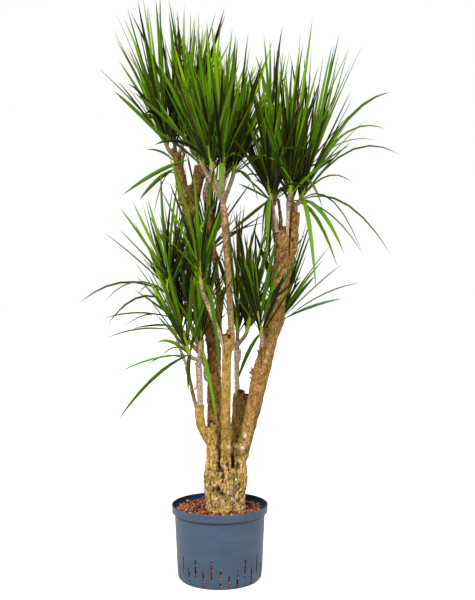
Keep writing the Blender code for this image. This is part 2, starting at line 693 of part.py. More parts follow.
def keep_largest_body(mesh):
    """Drops loose scraps and sealed hollows that joining can leave."""
    shape = bmesh.new()
    shape.from_mesh(mesh)
    bmesh.ops.remove_doubles(shape, verts=shape.verts, dist=1e-6)
    todo = set(shape.verts)
    bodies = []
    while todo:
        front = [todo.pop()]
        body = set(front)
        while front:
            vert = front.pop()
            for edge in vert.link_edges:
                other = edge.other_vert(vert)
                if other in todo:
                    todo.discard(other)
                    body.add(other)
                    front.append(other)
        bodies.append(body)
    bodies.sort(key=len)
    bmesh.ops.delete(shape, geom=[vert for body in bodies[:-1] for vert in body], context="VERTS")
    bmesh.ops.triangulate(shape, faces=shape.faces)
    shape.to_mesh(mesh)
    shape.free()


def make_mass(name, mass, leaves, parts):
    """One solid: the stem with its twigs, necks and leaves joined to it."""
    start, fork = stem_points(mass)
    along = (fork - start).normalized()
    stem_d = min(STEM_D, LIMBS[mass.bough].tip_d * TWIG_TAPER)
    joined = collection(name + "_pieces")
    pieces = []
    for foot, axis in heads_of(mass):
        twig = (foot - fork).normalized()
        pieces.append(tapered(fork - along * SUNK, foot + twig * SUNK, TWIG_D, TWIG_D * TWIG_TAPER, 4))
        pieces.append(tapered(foot, foot + axis * NECK_LENGTH, NECK_D, HEAD_D, 6))
    pieces += [leaf_mesh(*leaf, LEAF_WIDTH) for leaf in leaves]
    for piece in pieces:
        joined.objects.link(bpy.data.objects.new(name + "_piece", piece))
    made = add_object(name, tapered(start, fork, stem_d, stem_d * STEM_TAPER, 6), "leaf", parts)
    union = made.modifiers.new("union", "BOOLEAN")
    union.operation = "UNION"
    union.operand_type = "COLLECTION"
    union.collection = joined
    union.solver = "EXACT"
    graph = bpy.context.evaluated_depsgraph_get()
    mesh = bpy.data.meshes.new_from_object(made.evaluated_get(graph))
    made.modifiers.clear()
    keep_largest_body(mesh)
    mesh.materials.clear()
    mesh.materials.append(material("leaf"))
    made.data = mesh
    for piece in list(joined.objects):
        bpy.data.objects.remove(piece, do_unlink=True)
    bpy.data.collections.remove(joined)


def make_masses(parts):
    leaves = grow_leaves()
    for name, mass in MASSES.items():
        make_mass(name, mass, leaves[name], parts)


def main():
    clear_scene()
    parts = collection("hydroponic_dracaena")
    cutters = collection("cutters")
    make_pot(parts, cutters)
    make_granules(parts)
    make_limbs(parts, cutters)
    make_masses(parts)


main()
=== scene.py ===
import math
import random
from collections import namedtuple
from functools import partial

import bmesh
import bpy
import numpy as np
from mathutils import Matrix, Vector, noise


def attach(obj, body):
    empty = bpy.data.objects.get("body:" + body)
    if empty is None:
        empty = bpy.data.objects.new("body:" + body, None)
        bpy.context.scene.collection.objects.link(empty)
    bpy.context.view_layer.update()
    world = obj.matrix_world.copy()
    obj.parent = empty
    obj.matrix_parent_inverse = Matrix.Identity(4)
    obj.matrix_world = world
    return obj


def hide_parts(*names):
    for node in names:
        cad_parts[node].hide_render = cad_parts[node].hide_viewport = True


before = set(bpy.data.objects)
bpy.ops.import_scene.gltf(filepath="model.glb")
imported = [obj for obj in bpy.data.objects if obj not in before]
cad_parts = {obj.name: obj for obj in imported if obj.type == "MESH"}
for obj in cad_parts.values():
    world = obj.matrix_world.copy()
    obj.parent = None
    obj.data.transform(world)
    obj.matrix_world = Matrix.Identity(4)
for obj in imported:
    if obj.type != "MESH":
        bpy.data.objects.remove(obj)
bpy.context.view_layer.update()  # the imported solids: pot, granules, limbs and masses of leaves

UP = Vector((0, 0, 1))
MM = 0.001

# Camera: level, 2.12 m in front of the pot's axis, focal length in pixels of a frame 600 high
CAMERA_AT = (0.046, -2.12, 0.719)
FOCAL_PX, FRAME_PX, SENSOR = 814, 600, 36

# Pot: a thin moulded wall with a stepped rim and two staggered rows of slots
POT_RIM_D = 0.250
POT_HEIGHT = 0.190
POT_WALL = 0.0013
POT_FLOOR = 0.003
RIM_BAND = 0.020
POT_SHOULDER_D = 0.235
POT_WAIST_D, POT_WAIST_Z = 0.226, 0.085
POT_LOW_D, POT_LOW_Z = 0.220, 0.022
POT_FOOT_D, POT_FOOT_Z = 0.216, 0.006
POT_BASE_D = 0.206
POT_SIDES = 120
SLOT_WIDTH, SLOT_DEPTH = 0.0050, 0.030
SLOT_PITCH = 22.5  # degrees
SLOTS_A_ROW = 16
LOW_SLOT = (2.1, 0.005, 0.048)  # turn of a row's first slot in degrees, lower and upper end of each
HIGH_SLOT = (13.35, 0.027, 0.072)
SHORT_SLOT = (0.006, 0.036)  # ends of the one slot of the high row that sits lower
INSIDE_ANGLE = -0.5  # a face of the pot that leans inwards by more than this is its inside, painted dark as shade

# Clay granules: a bed of loose pebbles on top, and those that the slots show, round a core
BED_TOP = 0.1722
BED_RISE, BED_BACK_RISE, BED_LEFT_RISE = 0.0060, 0.0030, 0.0050  # behind the trunk, to the back, to the left
BED_UNEVEN, UNEVEN_SIZE = 0.0018, 0.03
EDGE_CLEAR = 0.0045  # from a pebble's middle to the wall
TRUNK_X, TRUNK_ROOM = 0.018, 0.040  # no loose pebbles within this of the trunk's axis
BED_CORE_TOP, CORE_RINGS, CORE_SIDES = 0.1560, 6, 48
CORE_CLEAR, CORE_CLEAR_LOW, CORE_WIDENS = 0.008, 0.016, 0.1  # room for pebbles round the core
BED_LAYERS = ((-0.0070, 1.0), (0.0, 0.85), (0.0058, 0.38))  # height, and share of its places taken
PEBBLE_D = (0.0085, 0.0118)
PEBBLE_PITCH = 0.0094
PEBBLE_KINDS = 9
JITTER = 0.0012
WALL_PITCH, WALL_JITTER = 0.0084, 0.0015  # height from pebble to pebble behind a slot
LOWEST_PEBBLE = 0.0085
# Pebbles behind a slot: how far round from it in radians, and how deep: one near, one deep, two beside
WALL_PEBBLES = (((-0.030, 0.030), 0.0046), ((-0.06, 0.06), 0.0125),
                ((0.075, 0.105), 0.0054), ((-0.105, -0.075), 0.0054))
# Fired clay: name, colour, the colour of its pores, and its chance on top of the bed and at the wall
CLAYS = (("fired_clay", "9C5632", "482012", 6, 5), ("fired_clay_brown", "743C24", "2C140C", 5, 2),
         ("fired_clay_pale", "AC724A", "6C3A24", 1.5, 4), ("fired_clay_black", "3E2C28", "181210", 1.4, 0.5))

# Limbs: bark, foot and tip positions, diameters, sideways bow at the middle, and swelling at the tip
Limb = namedtuple("Limb", "bark foot tip foot_d tip_d bow knob", defaults=((0, 0), 0))
LIMBS = {
    "cane_left_stump": Limb("tan", (-0.014, -0.016, 0.29), (-0.022, -0.02, 0.394), 0.037, 0.034),
    "cane_front": Limb("tan", (0.019, -0.034, 0.29), (0.021, -0.055, 0.622), 0.031, 0.022, (-0.004, 0), 0.42),
    "cane_right": Limb(
        "warm", (0.045, -0.008, 0.29), (0.1755, 0.005, 0.884), 0.034, 0.052, (0.0115, 0), 0.16),
    "cane_back_left": Limb("dark", (-0.014, 0.03, 0.29), (-0.016, 0.04, 0.594), 0.04, 0.037, (-0.001, 0)),
    "cane_back_stump": Limb("dark", (0.04, 0.03, 0.29), (0.0545, 0.04, 0.472), 0.036, 0.041),
    "bough_left_low": Limb(
        "tan", (-0.018, -0.018, 0.345), (-0.0495, -0.03, 0.452), 0.026, 0.024, (-0.014, 0)),
    "bough_left_high": Limb(
        "pale", (-0.049, -0.03, 0.436), (-0.053, -0.035, 0.548), 0.0155, 0.0175, (0, 0), 0.1),
    "shoot_far_left_low": Limb(
        "dark", (-0.0445, -0.021, 0.39), (-0.0855, 0, 0.547), 0.011, 0.01, (-0.003, 0.004), 0.5),
    "shoot_far_left_high": Limb(
        "pale", (-0.084, -0.0005, 0.541), (-0.1346, 0.01, 0.715), 0.009, 0.008, (-0.006, 0)),
    "stub_left_side": Limb("pale", (-0.0195, 0.034, 0.485), (-0.04, 0.018, 0.552), 0.013, 0.012),
    "bough_back_high": Limb("dark", (-0.0185, 0.041, 0.575), (-0.084, 0.065, 1.0), 0.03, 0.036, (0, 0), 0.48),
    "stub_back": Limb("dark", (-0.012, 0.036, 0.582), (0.0024, 0.03, 0.745), 0.022, 0.021),
    "shoot_dark": Limb("dark", (0, 0.031, 0.705), (-0.0345, 0.024, 1.0), 0.016, 0.013),
    "shoot_back": Limb("dark", (-0.045, 0.05, 0.72), (-0.04, 0.12, 0.815), 0.013, 0.01, (0, 0.006)),
    "fork_back_left": Limb("dark", (-0.095, 0.065, 0.975), (-0.1125, 0.065, 1.078), 0.032, 0.028),
    "fork_back_right": Limb("dark", (-0.072, 0.066, 0.975), (-0.0545, 0.07, 1.08), 0.032, 0.03),
    "bough_front_high": Limb(
        "pale", (0.033, -0.051, 0.59), (0.0113, -0.06, 0.945), 0.0165, 0.0175, (0.0015, 0), 0.08),
    "shoot_front_left": Limb("pale", (0.016, -0.058, 0.592), (-0.032, -0.098, 0.718), 0.0125, 0.011),
    "shoot_back_stump": Limb(
        "pale", (0.05, 0.034, 0.42), (0.045, 0.023, 0.582), 0.015, 0.014, (-0.003, 0), 0.25),
    "stub_right_side": Limb("warm", (0.111, -0.005, 0.515), (0.0815, -0.018, 0.54), 0.018, 0.01),
    "shoot_right_inner": Limb("warm", (0.112, -0.01, 0.535), (0.1085, -0.038, 0.611), 0.011, 0.01),
    "shoot_right_behind": Limb("warm", (0.126, 0.002, 0.575), (0.16, 0.055, 0.645), 0.015, 0.012),
    "arm_right_left": Limb("pale", (0.155, -0.006, 0.85), (0.1385, -0.016, 0.945), 0.015, 0.0115),
    "arm_right_outer": Limb("warm", (0.188, -0.003, 0.845), (0.196, -0.004, 0.948), 0.0275, 0.0255),
    "shoot_right_middle": Limb("pale", (0.174, -0.012, 0.85), (0.1765, -0.027, 0.955), 0.0105, 0.009),
    "stub_right_top": Limb("dark", (0.166, 0.01, 0.845), (0.163, 0.013, 0.912), 0.024, 0.022),
}
ON_TRUNK = ("cane_left_stump", "cane_front", "cane_right", "cane_back_left", "cane_back_stump")
SEAT_DEPTH = 0.055  # how far a cane runs down inside the trunk
KNOB_WIDTH = 0.10
LIMB_STEP, FRAME_STEP, TIP_STEP = 0.006, 0.02, 0.045  # stretches of a limb's tube, grain and tip

# The trunk is a bundle of grown-together canes: foot and top of each lobe, and its diameters
LOBES = tuple(Limb("base", *row) for row in (
    ((-0.013, -0.017, 0.16), (-0.013, -0.017, 0.36), 0.044, 0.029, (-0.005, 0)),
    ((0.017, -0.028, 0.166), (0.019, -0.035, 0.35), 0.038, 0.025),
    ((0.044, -0.015, 0.166), (0.052, -0.009, 0.35), 0.041, 0.029, (0.002, 0)),
    ((0.045, 0.015, 0.166), (0.042, 0.029, 0.345), 0.042, 0.03, (0.003, 0)),
    ((0.017, 0.028, 0.166), (0.012, 0.03, 0.33), 0.04, 0.028),
    ((-0.013, 0.015, 0.16), (-0.014, 0.029, 0.35), 0.043, 0.031, (-0.004, 0)),
    ((0.018, 0.0, 0.166), (0.018, 0.0, 0.315), 0.064, 0.046),
))
LOBE_BULGE, BULGE_AT, BULGE_WIDTH = 0.30, 0.52, 0.20

# Knots and cut stubs on the limbs of each bark: the same measures as a limb
KNOTS = tuple(Limb(bark, *row) for bark, rows in {
    "base": (
        ((-0.03, 0.01, 0.2), (-0.041, -0.004, 0.232), 0.009, 0.004),
    ),
    "tan": (
        ((0.017, -0.05, 0.6), (0.015, -0.066, 0.632), 0.022, 0.016),
        ((0.029, -0.05, 0.598), (0.032, -0.06, 0.635), 0.022, 0.015),
        ((0.022, -0.05, 0.606), (0.0235, -0.062, 0.645), 0.024, 0.012),
        ((0.048, -0.02, 0.33), (0.04, -0.046, 0.35), 0.014, 0.008),
        ((-0.018, -0.018, 0.37), (-0.012, -0.03, 0.402), 0.022, 0.019),
        ((-0.044, -0.026, 0.436), (-0.06, -0.03, 0.456), 0.012, 0.008),
    ),
    "warm": (
        ((0.088, -0.004, 0.455), (0.108, -0.003, 0.56), 0.03, 0.031, (-0.004, 0)),
        ((0.09, -0.012, 0.524), (0.0735, -0.022, 0.534), 0.01, 0.004),
        ((0.088, -0.014, 0.526), (0.0805, -0.024, 0.549), 0.009, 0.004),
        ((0.088, -0.014, 0.516), (0.076, -0.022, 0.521), 0.009, 0.004),
        ((0.106, -0.01, 0.575), (0.096, -0.02, 0.592), 0.009, 0.005),
        ((0.154, -0.008, 0.866), (0.145, -0.02, 0.892), 0.028, 0.021),
        ((0.186, -0.004, 0.836), (0.1935, -0.006, 0.892), 0.024, 0.026),
        ((0.158, -0.004, 0.862), (0.1555, -0.008, 0.899), 0.036, 0.012),
        ((0.172, -0.012, 0.856), (0.17, -0.018, 0.897), 0.03, 0.01),
        ((0.15, -0.006, 0.862), (0.144, -0.008, 0.908), 0.014, 0.009, (-0.002, 0)),
        ((0.17, -0.012, 0.86), (0.169, -0.022, 0.893), 0.02, 0.012),
        ((0.16, -0.006, 0.872), (0.16, -0.012, 0.902), 0.013, 0.007),
        ((0.184, 0.002, 0.93), (0.187, 0.0, 0.976), 0.016, 0.013),
    ),
    "dark": (
        ((0.054, 0.034, 0.452), (0.055, 0.016, 0.48), 0.026, 0.022),
        ((0.064, 0.038, 0.452), (0.071, 0.026, 0.47), 0.017, 0.012),
        ((0.16, 0.004, 0.89), (0.1515, 0.0, 0.985), 0.01, 0.009, (0.002, 0)),
        ((0.158, 0.008, 0.89), (0.156, 0.004, 0.906), 0.012, 0.008),
        ((0.169, 0.01, 0.89), (0.172, 0.006, 0.909), 0.012, 0.007),
        ((-0.054, 0.068, 1.045), (-0.04, 0.058, 1.064), 0.022, 0.015),
        ((-0.075, 0.066, 1.0), (-0.083, 0.06, 1.028), 0.024, 0.016),
        ((-0.117, 0.062, 1.065), (-0.13, 0.055, 1.125), 0.012, 0.009, (0.002, 0)),
        ((-0.104, 0.064, 1.04), (-0.095, 0.058, 1.125), 0.011, 0.008, (-0.003, 0)),
        ((-0.112, 0.064, 1.06), (-0.114, 0.056, 1.114), 0.018, 0.015),
        ((-0.074, 0.062, 0.89), (-0.084, 0.044, 0.906), 0.016, 0.01),
        ((-0.026, 0.042, 0.64), (-0.044, 0.026, 0.662), 0.016, 0.011),
        ((0.003, 0.03, 0.72), (0.014, 0.018, 0.752), 0.015, 0.012),
        ((-0.028, 0.03, 0.96), (-0.04, 0.02, 0.982), 0.009, 0.007, (0.003, 0)),
        ((-0.04, 0.02, 0.98), (-0.036, 0.022, 1.028), 0.008, 0.007, (-0.005, 0)),
    ),
    "pale": (
        ((-0.052, -0.034, 0.52), (-0.064, -0.04, 0.488), 0.008, 0.006),
        ((-0.052, -0.034, 0.535), (-0.062, -0.038, 0.56), 0.009, 0.006),
        ((0.0455, 0.024, 0.56), (0.047, 0.022, 0.59), 0.019, 0.018),
        ((-0.022, 0.026, 0.498), (-0.038, 0.012, 0.512), 0.009, 0.008),
        ((-0.037, 0.012, 0.51), (-0.036, 0.008, 0.548), 0.008, 0.007, (-0.004, 0)),
        ((0.148, 0.004, 0.88), (0.133, 0.002, 0.94), 0.011, 0.01, (-0.002, 0)),
    ),
}.items() for row in rows)

# Rotten hollows in front, cut in and painted dark as shade: place across, height, width, and depth in
# millimetres
CAVITIES = ((0.0040, 0.2820, 0.0050, 6), (0.0060, 0.2700, 0.0070, 9), (0.0200, 0.3000, 0.0055, 6),
            (-0.0020, 0.2360, 0.0045, 5), (0.0060, 0.2560, 0.0035, 4), (0.0060, 0.2250, 0.0045, 4),
            (0.0060, 0.2850, 0.0040, 4), (0.0260, 0.2620, 0.0025, 2), (0.0165, 0.3830, 0.0022, 2),
            (0.0255, 0.6270, 0.0040, 6), (0.1900, 0.8720, 0.0030, 5), (0.1940, 0.8520, 0.0022, 4),
            (0.1700, 0.8480, 0.0030, 2.5), (0.1620, 0.8440, 0.0025, 2.5), (0.1770, 0.8430, 0.0025, 2.5))
# Crevices between the canes in front, cut in and painted dark as shade: place across, lower and upper end,
# width, and depth in millimetres
CREVICES = ((0.0005, 0.283, 0.400, 0.0026, 6), (0.0335, 0.295, 0.400, 0.0026, 6),
            (0.0440, 0.262, 0.300, 0.0016, 2.5), (0.1810, 0.835, 0.900, 0.0020, 4),
            (0.1070, 0.545, 0.615, 0.0016, 3))
# Bare pinkish patches in front, where the bark has flaked: place across, height, and size
BARE_PATCHES = ((0.0236, 0.2307, 0.0050), (0.0090, 0.2052, 0.0045), (-0.0088, 0.2065, 0.0045),
                (0.0345, 0.2103, 0.0065), (0.0396, 0.2460, 0.0055), (0.0524, 0.2307, 0.0040),
                (0.0460, 0.3070, 0.0045), (0.0225, 0.3450, 0.0040), (0.0600, 0.3380, 0.0060),
                (-0.0120, 0.2450, 0.0035), (0.0660, 0.3700, 0.0050))

# Barks: piece, its colours (the last for its own dark marks and for painted shade), how deep its lumps,
# nodules, fissures and grit are in millimetres, how strong its ring scars are, how far apart they are in
# millimetres, and the mesh that it is all cut in
Bark = namedtuple("Bark", "piece ridge mossy pale hollow lumps nodules fissures grit rings ring_pitch voxel")
BARKS = {
    "base": Bark("trunk_bark", "CEA054", "84701A", "F4E2D8", "140B04", 3.4, 1.5, 1.3, 0.8, 0, 9, 0.0018),
    "tan": Bark("tan_canes", "B88E44", "8E7626", "D8BA8C", "2A1A08", 1.1, 0.3, 0.2, 0.3, 0.15, 9, 0.0018),
    "warm": Bark("right_cane", "9E7438", "7E5E28", "D8B48A", "2A1A08", 1.5, 0.5, 0.5, 0.4, 0.1, 8, 0.0020),
    "dark": Bark("back_canes", "9A743A", "6E5A22", "C49C6C", "1A1006", 1.8, 1.0, 0.9, 0.5, 0.2, 8, 0.0020),
    "pale": Bark("thin_stems", "B48C56", "86683A", "E2C69C", "33210F", 0.5, 0.2, 0, 0.25, 0.8, 6.0, 0.0013),
}
SMOOTH_LIMB, SMOOTH_RINGS = "bough_front_high", 0.25  # the pale stem whose rings have nearly worn away
BLEACHED, BLEACHING = "DCC6B2", 0.85  # what the other pale stems have turned towards, and how far
LUMP_SIZE, GRIT_SIZE = 0.021, 0.0034
NODULE_SIZE, FISSURE_SIZE = (0.008, 0.008, 0.011), (0.010, 0.010, 0.024)
TONE_SIZE, BARE_SIZE = (0.010, 0.010, 0.016), (0.009, 0.009, 0.011)
DOT_PITCH = 9.0  # millimetres between the dark dots of old shoots, drawn as coarse as they need to show
BLEND_LOW, BLEND_HIGH = 0.30, 0.44  # heights between which the trunk's colour turns into a cane's
TRUNK_SHARE = 0.7  # how deep the trunk's relief is at a cane's foot
FLAKED_TOP, FLAKED_FADE, FLAKED_HIGH = 0.30, 0.06, 0.3  # the trunk has flaked most low down
FRONT_DEPTH = 0.010  # how far round from the front the hollows there fade out
MOST_RELIEF = 0.35  # of a limb's radius
CUT_FACE, CUT_SUNK = 0.0022, 0.0016  # how near its end a stub counts as cut, and how far the cut is in

# Masses of leaves: the bough that carries it, where its heads are, leaves a head before the finer
# rule adds its own, their length, their widest angle off the head's axis, and how far out a tip may be
Mass = namedtuple("Mass", "bough heads leaves length spread reach")
MASSES = {
    "top_left": Mass(
        "fork_back_left", ((-0.141, 0.045, 1.126), (-0.124, 0.094, 1.132), (-0.097, 0.05, 1.146)), 18, 0.385,
        35, 0.15),
    "top_back": Mass(
        "fork_back_right", ((-0.078, 0.116, 1.126), (-0.052, 0.074, 1.128), (-0.02, 0.108, 1.108)), 17,
        0.31, 44, 0.19),
    "top_front": Mass(
        "bough_front_high",
        ((-0.041, -0.048, 1.058), (-0.016, -0.096, 1.04), (0.009, -0.104, 1.042), (0.035, -0.056, 1.036)),
        16, 0.315, 46, 0.17),
    "top_right": Mass("shoot_dark", ((-0.024, 0.026, 1.05), (0.012, 0.056, 1.046)), 16, 0.30, 46, 0.24),
    "right_left": Mass(
        "arm_right_left", ((0.132, -0.03, 0.975), (0.144, 0.032, 0.978)), 19, 0.38, 56, 0.22),
    "right_middle": Mass("shoot_right_middle", ((0.179, -0.042, 0.985),), 17, 0.385, 44, 0.22),
    "right": Mass("arm_right_outer", ((0.209, -0.008, 0.978), (0.192, 0.048, 0.982)), 16, 0.39, 33, 0.17),
    "front_shoot": Mass("shoot_front_left", ((-0.042, -0.108, 0.752),), 11, 0.30, 52, 0.16),
    "far_left": Mass("shoot_far_left_high", ((-0.137, 0.01, 0.733),), 15, 0.29, 50, 0.13),
    "left": Mass("bough_left_high", ((-0.075, -0.052, 0.578), (-0.049, -0.04, 0.598)), 14, 0.3, 56, 0.125),
    "left_inner": Mass(
        "stub_left_side", ((-0.05, 0.018, 0.655), (-0.078, 0.048, 0.65), (-0.098, 0.022, 0.635)), 12, 0.32,
        54, 0.17),
    "back": Mass("shoot_back", ((-0.036, 0.132, 0.845),), 20, 0.31, 80, 0.3),
    "middle": Mass("shoot_back_stump", ((0.046, 0.042, 0.628), (0.069, 0.01, 0.632)), 15, 0.35, 48, 0.2),
    "right_inner": Mass("shoot_right_inner", ((0.106, -0.046, 0.63),), 12, 0.28, 50, 0.14),
    "right_behind": Mass("shoot_right_behind", ((0.168, 0.07, 0.664),), 16, 0.28, 64, 0.21),
}
STEM_LENGTH, STEM_SUNK = 0.016, 0.012
GAP = 0.0003
NECK_LENGTH = 0.066
NECK_LEAN = 0.36
NECK_D, HEAD_D = 0.009, 0.0120
TWIG_D = 0.0110
RING_PITCH, RING_RELIEF = 0.0042, 0.09  # leaf scars on a young stem, and how far each flares
STEM_SIDES, STEM_ROW, STEM_CURVE = 12, 0.0014, 16  # faces round, height of a row, points of a curve
GREEN_FADE = 0.016

# Leaves: the source's rule, with this many times its leaves a head, each of its real width
FINER_TOP, FINER_LOW, LOW_HEAD = 2.3, 1.8, 0.90  # on the heads above and below that height
TURN = math.radians(137.5)
LEAF_WIDTH = (0.0074, 0.0118)
ROOT_DROP = 0.060
ROOT_SPREAD = 0.86
SUNK = 0.004
UPRIGHT = 4.0
FAN_POWER = 2.6
SAG = 0.62
TURN_PLAY = 0.35
OFF_PLAY = (0.35, 1.12)
LENGTH_PLAY = (0.5, 1)
SAG_PLAY = (0.35, 1)
SWEEP = 0.17  # how far a leaf may lean round the head, so that leaves cross
OLD_FROM, OLD_SHARE, OLD_LENGTH, OLD_SAG = 0.66, 0.11, 0.75, (0.2, 0.7)  # old leaves, some of which hang
AIMED_PLAY = 0.15  # how much of its chance bend a leaf with a tip of its own has
ARCHING_SAG, ARCHING_WIDTH = 0.2, 0.0118  # a leaf that arches over bends across its flat and hardly rolls
ARCHING_SHARE = 1.15  # it is an old, outer leaf
DRIFT_ASIDE, DRIFT_UP = 0.12, (-0.05, 0.09)  # chance bends, as shares of a leaf's length
ROLL, AIMED_ROLL, TWIST = 0.9, (0.5, 1.0), 1.0  # radians round the midrib: all of it, and root to tip
HANGING_ROLL, ARCHING_PLAY = 1.1, 0.3
YOUNG_WIDTH, AGE_WIDENS = 0.85, 0.2
CUP = (0.25, 0.6)  # how deep a blade's channel is, as a share of its half width
BLADE_RINGS = (0, 0.045, 0.12, 0.23, 0.37, 0.53, 0.69, 0.83, 0.93)
MARGIN_SHARE = 0.88
THICKNESS, KEEL = 0.00055, 1.5
TRIES = 14
TURN_TRIES = 5
SHORTEN = 0.985
TRESPASS = 0.040  # how far a leaf may reach into another head's space
SITE_LENGTH = 0.22
CLEAR, LIMB_SWELL = 0.0045, 1.08
SAMPLES = 14
CROWN_LOW, CROWN_HIGH = (-0.366, -0.42, 0.40), (0.486, 0.45, 1.500)
SEED = 11

# The longest and lowest leaves of each mass, which give the crown its reach: head, tip, sag
REACHING = {
    "top_left": (
        (0, (-0.319, 0.02, 1.33), 0.05), (0, (-0.288, 0.05, 1.448), 0), (0, (-0.268, 0.03, 1.352), 0.03),
        (0, (-0.275, -0.03, 1.255), 0.12), (0, (-0.214, 0.04, 1.479), 0), (0, (-0.198, 0.05, 1.505), 0),
        (1, (-0.169, 0.08, 1.505), 0), (2, (-0.131, 0.05, 1.507), 0), (2, (-0.097, 0.06, 1.515), 0),
    ),
    "top_back": (
        (0, (-0.075, 0.12, 1.492), 0), (1, (-0.04, 0.07, 1.455), 0), (0, (-0.08, 0.44, 1.13), 0.35),
    ),
    "top_front": (
        (0, (-0.215, -0.1, 1.235), 0.15), (2, (0.035, -0.13, 1.368), 0), (3, (0.1365, -0.07, 1.374), 0),
    ),
    "right_left": (
        (0, (0.128, -0.05, 1.385), 0), (0, (0.16, -0.03, 1.404), 0), (0, (0.166, -0.05, 1.36), 0),
        (1, (0.156, 0.09, 1.395), 0), (0, (0.0396, -0.03, 1.058), 0.02), (0, (0.055, -0.04, 1.012), 0.04),
        (0, (0.0234, -0.07, 0.885), 0),
    ),
    "right_middle": ((0, (0.209, -0.06, 1.4), 0), (0, (0.225, -0.1, 1.39), 0)),
    "right": (
        (0, (0.289, -0.02, 1.38), 0.02), (0, (0.372, 0.01, 1.385), 0.1), (1, (0.343, 0.03, 1.385), 0.05),
        (0, (0.426, -0.02, 1.165), 0.54), (1, (0.416, 0.02, 1.141), 0.5), (0, (0.3775, -0.03, 1.182), 0.12),
        (0, (0.3255, -0.05, 1.166), 0.05), (1, (0.3437, 0.03, 1.208), 0.1),
        (0, (0.3125, -0.06, 1.135), 0.1), (1, (0.395, 0.17, 0.85), 0.66),
    ),
    "right_behind": ((0, (0.38, 0.1, 0.765), 0.25), (0, (0.335, 0.14, 0.815), 0.08)),
    "far_left": (
        (0, (-0.302, 0, 0.895), 0.08), (0, (-0.231, 0.02, 0.976), 0), (0, (-0.261, 0.0, 0.96), 0.03),
        (0, (-0.189, 0.0, 0.983), 0), (0, (-0.258, -0.02, 0.901), 0.04),
    ),
    "front_shoot": (
        (0, (-0.0954, -0.12, 0.992), 0), (0, (-0.0585, -0.14, 1.031), 0), (0, (0.0091, -0.14, 0.945), 0),
        (0, (-0.1446, -0.12, 0.994), 0.02), (0, (-0.151, -0.13, 0.899), 0.04),
    ),
    "left": (
        (0, (-0.252, -0.1, 0.415), 0.5), (0, (-0.159, -0.09, 0.681), 0.02),
        (0, (-0.243, -0.12, 0.542), 0.24), (1, (-0.005, -0.11, 0.425), 1.0),
    ),
    "back": ((0, (-0.08, 0.42, 0.77), 0.6),),
}

# Leaves of each mass that arch over and hang: head, tip, and by how much they set out upwards
HANGING = {
    "top_front": (
        (2, (0.009, -0.305, 0.936), 0.06), (3, (0.098, -0.1, 0.965), 0.05),
        (3, (0.238, -0.13, 1.085), 0.16), (3, (0.182, -0.12, 1.003), 0.2), (3, (0.075, -0.07, 1.02), 0.03),
    ),
    "front_shoot": ((0, (0.006, -0.16, 0.522), 0.05), (0, (0.021, -0.15, 0.547), 0.06)),
    "right_middle": ((0, (0.2602, -0.07, 0.947), 0.19),),
    "right": (
        (0, (0.4665, 0.0, 1.096), 0.39), (0, (0.436, -0.04, 1.25), 0.52),
        (0, (0.3155, -0.06, 0.835), -0.015), (0, (0.365, -0.05, 0.835), 0.12),
        (0, (0.436, -0.05, 0.833), 0.083), (0, (0.2384, -0.15, 0.736), 0.004),
        (1, (0.311, 0.04, 0.806), 0.0),
    ),
    "left": ((0, (-0.0775, -0.085, 0.486), 0.004),),
    "far_left": (
        (0, (-0.362, -0.02, 0.712), 0.135), (0, (-0.2946, -0.04, 0.714), 0.14),
        (0, (-0.21, -0.03, 0.735), 0.09),
    ),
    "right_left": (
        (0, (0.046, -0.05, 1.015), 0.045), (0, (0.114, -0.05, 0.842), 0.012),
        (0, (0.12, -0.06, 0.822), 0.01), (0, (0.127, -0.05, 0.812), 0.008),
        (0, (0.108, -0.03, 0.868), 0.012),
    ),
}

# Stray leaves that grow below the heads, out of the wood: root, tip, and the same
STRAY = {
    "middle": (((0.0475, 0.022, 0.511), (0.112, 0.0, 0.636), 0.2),),
    "top_left": (
        ((-0.088, 0.03, 1.0886), (-0.2576, 0.03, 0.9936), -0.05),
        ((-0.123, 0.048, 1.067), (-0.214, 0.03, 0.983), -0.046),
        ((-0.123, 0.05, 1.056), (-0.1763, 0.03, 0.939), 0.04),
        ((-0.1245, 0.052, 1.09), (-0.1956, 0.03, 1.115), 0.06),
    ),
    "far_left": (
        ((-0.1308, 0.008, 0.706), (-0.296, -0.02, 0.644), 0.13),
        ((-0.1256, 0.005, 0.672), (-0.311, -0.02, 0.667), 0.054),
        ((-0.1256, 0.005, 0.67), (-0.2528, -0.03, 0.644), 0.065),
        ((-0.1243, 0.004, 0.651), (-0.224, -0.03, 0.644), 0.008),
        ((-0.095, 0.0, 0.568), (-0.1908, -0.03, 0.5475), 0.035),
        ((-0.1235, 0.004, 0.64), (-0.301, -0.02, 0.618), 0.03),
    ),
}

# Leaf colours: the young leaves at a head's middle are the brightest, the outer ones the darkest
LEAF_TINTS = ("7CA80E", "68960A", "507E08", "3A6208", "1E3A06", "0E2004", "507E5A")
MARGIN, SHEATH, DRY_TIP = "6A3418", "8CA81C", "9C6A38"
FIRST_GREEN = 3  # the greens come after the margin, the root and the dry tip
DARKEST, SHEEN_GREEN = 5, 6  # the last of the greens by age, and the bluish one, the painted sheen of a glossy leaf
AGE_TINT, CHANCE_TINT, AIMED_CHANCE = 2.6, (-1.3, 2.4), 0.5  # steps darker with age, and by chance
SHADED_RINGS = (0, 0, 2, 3, 4, 5, 6)  # how much of a blade, from its root, is painted a step darker as shade
SHADY = {"middle": 0.9, "right_inner": 0.9, "right_left": 0.8, "right_middle": 0.6, "right": 0.5,
         "left_inner": 0.3, "front_shoot": 1.0, "far_left": 0.5}  # steps darker in the others' shade
# share of leaves painted with a bluish sheen, and of leaves with a dry tip
SHEEN_SHARE, DRY_SHARE = 0.06, 0.22

